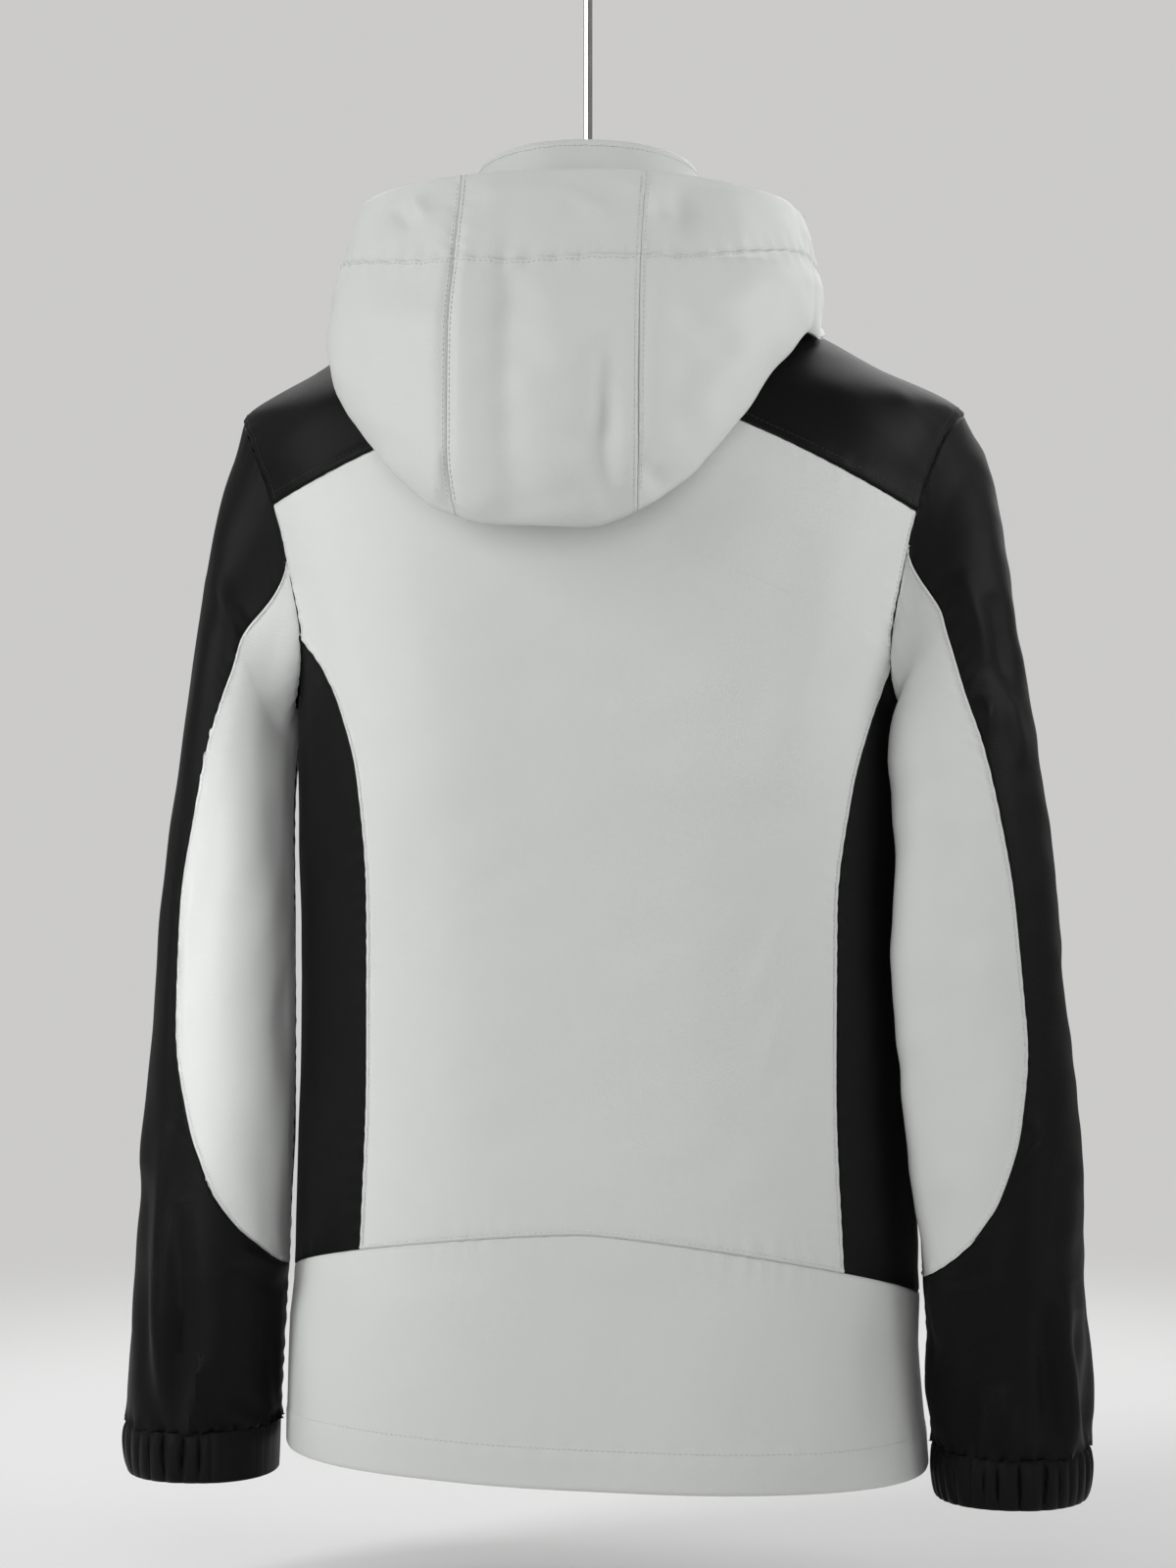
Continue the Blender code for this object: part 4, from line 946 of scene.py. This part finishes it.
def sleeve_panel(name, side, angles, rings, look, stitched):
    """One piece of a sleeve, with its drape, its creases and its sewn edges."""
    surface = sleeve_surface(side)
    levels = np.repeat(rings[:, None], angles.shape[1], axis=1)
    points, out, u, v = laid(surface, np.stack([angles, levels], axis=-1)[::-1, ::-side])
    out = side * out
    points[-1] += (points[-2] - points[-1]) * 0.25
    low_edge = " bottom" if rings[-1] < SLEEVE_RINGS[-1] else ""
    relief, near = sewn(points, "top left right" + low_edge, stitched)
    inner = ramp(near, 0.025) ** 1.5
    own = points * [side, 1, 1] - [side * SLEEVE_SHIFT, 0, 0]
    full = ramp(v - 8.0, 2.0)
    soft = 0.0010 * drape(points, 0.09, 70 + side) + 0.00045 * drape(points, 0.03, 72 + side)
    crush = 0.0011 * full * drape(points * [1, 1, 0.4], 0.024, 74 + side)
    gathered = np.sin(CUFF_GATHERS * (u + 0.05 * np.sin(3 * u))) * ramp(v - 10.55, 0.45) ** 2
    relief = relief + inner * (soft + crush) + GATHER_HEIGHT * gathered
    relief = relief + ramp(near, 0.008) * folds(own, ARM_FOLDS[side])
    points = draw_in(points + out * relief[..., None], SEAM_GAP / 2)
    if stitched:
        rows = [inset_line(points, out, edge, STITCH_INSET) for edge in stitched.split()]
        sew(name, rows, pale_thread)
    return make_cloth(name, points, near, look)


tip_share = 1 - (1 - run(0, 1, 44)) ** 1.5
sleeve_rings = join(run(0, 7.9, 118), run(7.9, LEAF_TURN, 2), LEAF_TURN + (LEAF_TIP - LEAF_TURN) * tip_share,
                    run(LEAF_TIP, SLEEVE_RINGS[-1], 48))
tip = int(np.argmin(np.abs(sleeve_rings - LEAF_TIP)))
start = LEAF_SEAM_ANGLE - 2 * math.pi
for side, hand in ((1, "left"), (-1, "right")):
    outer_seam = np.radians(smooth(sleeve_rings, LEAF_SEAM["ring"], LEAF_SEAM[hand]))
    outer_seam[tip + 1:] = LEAF_SEAM_ANGLE
    black_angles = start + run(0, 1, 92)[None] * (outer_seam[:, None] - start)
    sleeve = sleeve_panel("sleeve_%s_cloth" % hand, side, black_angles, sleeve_rings, black_cloth, "")
    wear(sleeve, "sleeve_" + hand)
    leaf_edge = outer_seam[:tip + 1, None]
    leaf_angles = leaf_edge + run(0, 1, 44)[None] * (LEAF_SEAM_ANGLE - leaf_edge)
    leaf = sleeve_panel("sleeve_leaf_%s_cloth" % hand, side, leaf_angles, sleeve_rings[:tip + 1],
                        pale_cloth, "right" if side > 0 else "left")
    wear(leaf, "sleeve_leaf_" + hand)


# Cuffs
# A black band with elastic in it closes each sleeve. Stretched flat it is plain cloth, and at rest
# the elastic gathers it into small upright pleats; the wearer's left one is gathered on its outer part.
CUFF_TOP = -0.4040
CUFF_BOTTOM = -0.4340
CUFF_POINTS = 480
CUFF_THICKNESS = 0.0018
CUFF_TAPER = 0.0010
CUFF_BULGE = 0.0012
CUFF_DRAWN_IN = 0.0007
CUFF_RISE = 0.0031
CUFF_ROWS = 16
CUFF_BLACK = (0.0026, 0.0027, 0.0026)

cuff_cloth = cloth_look("cuff_cloth", CUFF_BLACK, 0.10, 0.52, 0.03, 0.7, slub=0.7)
last = {key: values[-1] for key, values in SLEEVE.items()}
turn = np.linspace(0, 2 * math.pi, CUFF_POINTS, endpoint=False)


def cuff_reach(side, level):
    """How far the gathered elastic stands off the plain band, round the cuff at one level."""
    gathered = np.clip(0.5 + 2.2 * np.cos(turn - 0.3), 0.06, 1) if side > 0 else np.ones(CUFF_POINTS)
    drawn_in = math.exp(-level * 14) + math.exp(-(1 - level) * 14)
    bulge = CUFF_BULGE * math.sin(math.pi * level) ** 0.6 - CUFF_DRAWN_IN * drawn_in
    lean = 0.10 * np.sin(2 * turn + 0.7 * side) * level + 0.05 * np.sin(9 * turn + 3 * level)
    uneven = turn + 0.05 * np.sin(3 * turn + side) + 0.035 * np.sin(7 * turn) + 0.18 * lean
    pleat = 2 * np.abs(np.sin(CUFF_GATHERS / 2 * uneven)) ** 0.7 - 1.2
    pleat = pleat + 0.25 * np.sin(CUFF_GATHERS * uneven + 1 + 2 * level)
    height = (0.22 + 0.78 * math.sin(math.pi * level) ** 0.7) * (0.7 + 0.3 * np.sin(5 * turn + 1))
    return bulge * gathered + CUFF_RISE * pleat * gathered * height


for side, hand in ((1, "left"), (-1, "right")):
    rows = []
    for level in run(0, 1, CUFF_ROWS):
        ends = CUFF_TAPER * (1 - level)
        reach = cuff_reach(side, level)
        half_x = (last["outer_x"] - last["inner_x"]) / 2 - ends + reach
        depth = np.where(np.sin(turn) > 0, last["back"], last["front"]) - ends + reach
        x = (last["outer_x"] + last["inner_x"]) / 2 + half_x * signed_power(np.cos(turn), SLEEVE_POWER)
        y = last["middle_y"] + depth * signed_power(np.sin(turn), SLEEVE_POWER)
        z = np.full(CUFF_POINTS, CUFF_LIFT[side] + CUFF_BOTTOM + (CUFF_TOP - CUFF_BOTTOM) * level)
        rows.append(np.stack([SLEEVE_SHIFT + side * x, y, z], axis=-1))
    cuff_points = np.stack(rows)[:, ::-side]
    cuff = make_cloth("cuff_%s_cloth" % hand, cuff_points, 0.003, cuff_cloth, CUFF_THICKNESS, ring=True)
    wear(cuff, "cuff_" + hand)


# Hood
# Three pale panels are sewn into a hood that hangs open behind the collar and rests on the back.
# Raised double-stitched seams join the panels, and a puckered seam sets off the band at its brim.
HOOD_TURN = math.radians(2.5)
HOOD_END = math.radians(180)
HOOD_NECK_SHARE = 0.915
HOOD_FLAT = 0.12
HOOD_SAG = 0.82
HOOD_SAG_LEFT = 0.17
HOOD_NECK_END = 0.18
HOOD_NECK_OFF = 0.0012
HOOD_END_OUT = 0.009
HOOD_END_RISE = 0.030
HOOD_CLEARANCE = (0.0010, 0.0040)
BRIM_SEAM = 0.865
BRIM_SEAM_STITCH = 0.859
BRIM_PUCKER_LENGTH = 0.0135
BRIM_PUCKER_HEIGHT = 0.0008
BRIM_PUCKER_REACH = 0.0085
BRIM_RIDGE = 0.0007
BRIM_GROOVE = 0.0009
BRIM_ROUND = 0.0007
HOOD_SEAM_SHARE = 0.6
HOOD_FOLD_ROW = 56

# The hood from the neck seam, down inside, round the bottom fold and up outside to the brim.
HOOD = table("along half_width back_y side_y back_z side_z seam",
             (0.00, 0.0900, 0.0735, 0.000, 0.3085, 0.3050, 0.040),
             (0.18, 0.1120, 0.1250, 0.030, 0.2300, 0.2850, 0.045),
             (0.36, 0.1330, 0.1480, 0.060, 0.1500, 0.2680, 0.049),
             (0.46, 0.1400, 0.1720, 0.072, 0.1445, 0.2640, 0.051),
             (0.60, 0.1420, 0.1930, 0.075, 0.1850, 0.2740, 0.054),
             (0.76, 0.1420, 0.1900, 0.070, 0.2500, 0.2920, 0.054),
             (0.88, 0.1370, 0.1710, 0.062, 0.3020, 0.3130, 0.053),
             (1.00, 0.1300, 0.1480, 0.054, 0.3495, 0.3415, 0.053))

# Folds of the hood as seen from behind.
HOOD_FOLDS = table("x0 z0 x1 z1 width height",
                   (0.056, 0.330, 0.052, 0.150, 0.0200, 0.0043),
                   (0.031, 0.335, 0.026, 0.145, 0.0110, -0.0038),
                   (0.000, 0.300, -0.008, 0.160, 0.0160, 0.0029),
                   (-0.026, 0.250, -0.030, 0.145, 0.0080, -0.0043),
                   (-0.056, 0.300, -0.044, 0.160, 0.0130, 0.0032),
                   (0.064, 0.190, 0.068, 0.158, 0.0050, 0.0038),
                   (0.100, 0.335, 0.088, 0.318, 0.0050, -0.0032),
                   (0.090, 0.338, 0.078, 0.322, 0.0045, 0.0023),
                   (-0.005, 0.338, -0.026, 0.316, 0.0060, 0.0026),
                   (-0.030, 0.346, -0.052, 0.330, 0.0050, 0.0026),
                   (-0.040, 0.336, -0.062, 0.322, 0.0050, -0.0026),
                   (-0.066, 0.346, -0.070, 0.295, 0.0140, -0.0067),
                   (-0.098, 0.340, -0.100, 0.300, 0.0180, 0.0043),
                   (-0.110, 0.300, -0.098, 0.240, 0.0140, 0.0023),
                   (-0.050, 0.178, -0.058, 0.162, 0.0045, -0.0035))


def torso_offset(points):
    """How far points lie off the body's outside, below zero within it, and the way off it."""
    def level(at):
        height = at[..., 2]
        ring = row_at(TORSO, TORSO["height"], height)
        depth = np.where(at[..., 1] > 0, ring["back"], ring["front"])
        total = (np.abs((at[..., 0] - ring["shift"]) / ring["half_width"]) ** ring["power"]
                 + np.abs(at[..., 1] / depth) ** ring["power"])
        return total ** (1 / ring["power"]) - 1
    step = 1e-4
    slope = np.stack([(level(points + step * axis) - level(points - step * axis)) / (2 * step)
                      for axis in np.eye(3)], axis=-1)
    steep = np.linalg.norm(slope, axis=-1)
    return level(points) / steep, slope / steep[..., None]


def hood_neck(angle):
    """Where the hood is sewn on, just off the neck seam."""
    angle = np.asarray(angle)
    spread = np.stack([np.sin(angle), np.cos(angle), 0.8 + 0 * angle], axis=-1)
    return torso(angle, neck_height(angle)) + HOOD_NECK_OFF * spread


def hood_surface(angle, along):
    row = row_at(HOOD, HOOD["along"], np.maximum(along, HOOD_NECK_END))
    rear = np.clip(np.abs(angle), 0, math.pi / 2)
    fore = np.clip(np.abs(angle) - math.pi / 2, 0, math.pi / 2)
    side = np.sign(angle)
    bend = ramp(np.sin(rear) - HOOD_FLAT, 1 - HOOD_FLAT)
    level = (1 - bend ** 2) ** (HOOD_SAG - HOOD_SAG_LEFT * side)
    free = np.stack([side * row["half_width"] * np.sin(rear),
                     row["side_y"] + (row["back_y"] - row["side_y"]) * np.cos(rear),
                     row["side_z"] + (row["back_z"] - row["side_z"]) * level], axis=-1)
    neck = hood_neck(angle * HOOD_NECK_SHARE)
    start = ramp(along, HOOD_NECK_END)[..., None]
    at_side = hood_neck(side * math.pi / 2 * HOOD_NECK_SHARE)
    closing = np.cos(fore)[..., None]
    edge = np.stack([0 * along, -HOOD_END_OUT * start[..., 0] ** 0.5, HOOD_END_RISE * along], axis=-1)
    forward = neck + (free - at_side) * closing + edge * (1 - closing)
    hung = np.where(fore[..., None] > 0, forward, free)
    hung = neck + (hung - neck) * start
    turn = HOOD_TURN * start[..., 0]
    x, y = hung[..., 0], hung[..., 1]
    hung = np.stack([x * np.cos(turn) + y * np.sin(turn), y * np.cos(turn) - x * np.sin(turn),
                     hung[..., 2]], axis=-1)
    clear = HOOD_CLEARANCE[0] + (HOOD_CLEARANCE[1] - HOOD_CLEARANCE[0]) * ramp(along, 0.06)
    for _ in range(4):
        distance, away = torso_offset(hung)
        hung = hung + away * np.clip(clear - distance, 0, None)[..., None]
    return hung


def hood_panel(name, node, grid, edges):
    """A panel of the hood: its seams stand up as ridges, and the brim's seam pulls it into puckers."""
    points, out, _, v = laid(hood_surface, grid)
    relief, near = sewn(points, edges, edges)
    relief = HOOD_SEAM_SHARE * relief
    across, up = lengths(points)
    brim = np.array([np.interp(BRIM_SEAM, v[:, j], up[:, j]) for j in range(v.shape[1])])
    off = up - brim[None]
    pulls = np.sin(2 * math.pi * across / BRIM_PUCKER_LENGTH + 1.4 * np.sin(across * 47) + off * 60)
    from_brim = up[-1:] - up
    relief = relief + BRIM_PUCKER_HEIGHT * pulls * bell(off, BRIM_PUCKER_REACH) * ramp(near, 0.004)
    relief = relief + BRIM_RIDGE * bell(off + 0.0014, 0.0010) - BRIM_GROOVE * bell(off, 0.0007)
    relief = relief - BRIM_ROUND * bell(from_brim, EDGE_WIDTH)
    inner = ramp(near, 0.022) ** 1.4 * ramp(from_brim, 0.015)
    soft = 0.0013 * drape(points, 0.075, 81) + 0.0006 * drape(points, 0.028, 83)
    outside = ramp(v - 0.42, 0.1)
    relief = relief + inner * soft + ramp(near, 0.007) * outside * folds(points, HOOD_FOLDS)
    points = draw_in(points + out * relief[..., None], SEAM_GAP / 2)
    rows = [inset_line(points[HOOD_FOLD_ROW:], out[HOOD_FOLD_ROW:], edge, STITCH_INSET)
            for edge in edges.split()]
    rows.append([np.array([at_lengths(BRIM_SEAM_STITCH, *pair) for pair in zip(v.T, side.swapaxes(0, 1))])
                 for side in (points, out)])
    sew(name, rows, pale_thread)
    # The painted seam shade also darkens the hood along its brim seam.
    piece = make_cloth(name, points, np.minimum(near, np.abs(off)), pale_cloth)
    wear(piece, node)


hood_along = join(run(0, 0.36, 28), run(0.36, 0.60, 36), run(0.60, 0.84, 34), run(0.84, 0.89, 20),
                  run(0.89, 1.0, 16))
hood_width = smooth(hood_along, HOOD["along"], HOOD["half_width"])
hood_seam = np.arcsin(smooth(hood_along, HOOD["along"], HOOD["seam"]) / hood_width)
centre_share = run(-1, 1, 34)
centre_grid = np.stack([hood_seam[:, None] * centre_share[None],
                        np.repeat(hood_along[:, None], len(centre_share), axis=1)], axis=-1)
side_share = join(run(0, 0.5, 48), run(0.5, 1, 28))
hood_grid = np.stack([hood_seam[:, None] + side_share[None] * (HOOD_END - hood_seam[:, None]),
                      np.repeat(hood_along[:, None], len(side_share), axis=1)], axis=-1)
right_grid = mirrored(hood_grid)[:, ::-1]
hood_panel("hood_centre_cloth", "hood_centre", centre_grid, "left right")
hood_panel("hood_side_left_cloth", "hood_side_left", hood_grid, "left")
hood_panel("hood_side_right_cloth", "hood_side_right", right_grid, "right")


# Hanger
# A thin polished steel rod with a hook comes up through the collar. Plain steel arms under the
# shoulders take the jacket's weight.
def metal_look(name, colour, roughness):
    """Drawn steel, with fine scratches along it and a little dullness from handling."""
    look, tree, shader = new_look(name, Metallic=1.0)
    place = add(tree, "TexCoord")
    stretch = add(tree, "Mapping", Scale=(900, 900, 25))
    scratch = add(tree, "TexNoise", Detail=3, Scale=1)
    dull = add(tree, "TexNoise", Scale=60)
    relief = add(tree, "Bump", Strength=0.25, Distance=0.00003)
    link(tree, place.outputs["Object"], stretch.inputs["Vector"])
    link(tree, place.outputs["Object"], dull.inputs["Vector"])
    link(tree, stretch.outputs["Vector"], scratch.inputs["Vector"])
    link(tree, scratch.outputs["Fac"], relief.inputs["Height"])
    gloss = add_range(tree, scratch.outputs["Fac"], To_Min=roughness - 0.07, To_Max=roughness + 0.07)
    link(tree, add_tint(tree, colour, 0.82, 1.12, dull.outputs["Fac"]), shader.inputs["Base Color"])
    link(tree, gloss, shader.inputs["Roughness"])
    link(tree, relief.outputs["Normal"], shader.inputs["Normal"])
    return look


def refinish(node, look):
    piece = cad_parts[node]
    piece.data.materials.clear()
    piece.data.materials.append(look)


rod_steel = metal_look("rod_steel", (0.58, 0.57, 0.56), 0.24)
for node in ("hanger_rod", "hanger_arms"):
    refinish(node, rod_steel)
zip_metal = metal_look("zip_metal", (0.30, 0.30, 0.31), 0.34)
for node in ("zip_slider", "zip_tab"):
    refinish(node, zip_metal)


# Studio
# A plain pale floor fades out into a plain pale surround. The key light is soft and comes from behind
# the camera, with softer boxes at both sides; the surround shows brighter than it lights.
FLOOR_HEIGHT = -0.500 - HANG_HEIGHT
FLOOR_REACH = 1.70
AXIS_HEIGHT = -HANG_HEIGHT
CAMERA_AZIMUTH = math.radians(185.5)
CAMERA_DISTANCE = 2.0
LENS = 75
AMBIENT_SHARE = 0.36
FLOOR_SIDES = 96
FLOOR_FADE_START = 0.75

floor_turn = run(0, 2 * math.pi, FLOOR_SIDES)[:-1]
floor_rim = np.stack([FLOOR_REACH * np.cos(floor_turn), FLOOR_REACH * np.sin(floor_turn),
                      np.full(FLOOR_SIDES, FLOOR_HEIGHT + HANG_HEIGHT)], axis=-1)
floor = new_piece("floor", floor_rim, [tuple(range(FLOOR_SIDES))])
pale_floor, tree, shader = new_look("pale_floor", Base_Color=(0.80, 0.80, 0.80, 1), Roughness=0.8,
                                    Specular_IOR_Level=0.1)
place = add(tree, "TexCoord")
flat_place = add(tree, "VectorMath")
flat_place.operation = "MULTIPLY"
flat_place.inputs[1].default_value = (1, 1, 0)
reach = add(tree, "VectorMath")
reach.operation = "LENGTH"
link(tree, place.outputs["Object"], flat_place.inputs[0])
link(tree, flat_place.outputs["Vector"], reach.inputs[0])
fade = add(tree, "MapRange", From_Min=FLOOR_FADE_START, From_Max=FLOOR_REACH - 0.05, To_Min=1.0, To_Max=0.0)
fade.interpolation_type = "SMOOTHSTEP"
link(tree, reach.outputs["Value"], fade.inputs["Value"])
link(tree, fade.outputs["Result"], shader.inputs["Alpha"])
floor.data.materials.append(pale_floor)

world = bpy.data.worlds.new("studio")
world.use_nodes = True
tree = world.node_tree
wall = tree.nodes["Background"]
wall.inputs["Color"].default_value = (0.60, 0.595, 0.59, 1)
seen = add(tree, "LightPath")
strength = add_range(tree, seen.outputs["Is Camera Ray"], To_Min=AMBIENT_SHARE, To_Max=1.0)
link(tree, strength, wall.inputs["Strength"])
bpy.context.scene.world = world
bpy.context.scene.view_settings.view_transform = "Standard"


def softbox(name, place, target, size, power, spread=180):
    lamp = bpy.data.lights.new(name, "AREA")
    lamp.shape = "RECTANGLE"
    lamp.size, lamp.size_y = size
    lamp.energy = power
    lamp.spread = math.radians(spread)
    holder = bpy.data.objects.new(name, lamp)
    bpy.context.collection.objects.link(holder)
    holder.location = place
    holder.visible_camera = False
    way = np.array(place) - np.array(target)
    holder.rotation_euler = (math.atan2(math.hypot(way[0], way[1]), way[2]), 0,
                             math.atan2(way[1], way[0]) + math.pi / 2)


softbox("key", (-0.12, 2.00, AXIS_HEIGHT + 0.20), (0, 0, AXIS_HEIGHT), (0.9, 1.3), 10)
softbox("side_left", (1.30, 0.80, AXIS_HEIGHT + 0.55), (0.1, 0, AXIS_HEIGHT + 0.1), (0.4, 1.2), 14)
softbox("side_right", (-1.40, 0.70, AXIS_HEIGHT), (-0.1, 0, AXIS_HEIGHT), (0.4, 1.3), 3.5)
softbox("rim", (-1.35, 0.25, AXIS_HEIGHT + 0.6), (0, 0, AXIS_HEIGHT + 0.30), (0.4, 0.5), 1.1, 60)
softbox("sleeve_light", (0.12, 1.05, AXIS_HEIGHT - 0.08), (0.27, 0.05, AXIS_HEIGHT - 0.08),
        (0.1, 0.5), 0.16, 24)
softbox("overhead", (0.1, 0.0, AXIS_HEIGHT + 2.0), (0, 0, AXIS_HEIGHT), (1.4, 1.4), 3)
softbox("floor_light", (0, -1.2, 0.7), (0, -1.0, FLOOR_HEIGHT), (2.4, 1.2), 22)
softbox("front", (-0.6, -2.0, 0.3), (0, 0, AXIS_HEIGHT), (1.2, 1.2), 8)

camera = bpy.data.objects.new("camera", bpy.data.cameras.new("camera"))
camera.data.lens = LENS
camera.data.sensor_width = 36
camera.data.clip_end = 50
camera.location = (CAMERA_DISTANCE * math.sin(CAMERA_AZIMUTH), -CAMERA_DISTANCE * math.cos(CAMERA_AZIMUTH),
                   AXIS_HEIGHT)
camera.rotation_euler = (math.pi / 2, 0, CAMERA_AZIMUTH)
bpy.context.collection.objects.link(camera)
bpy.context.scene.camera = camera
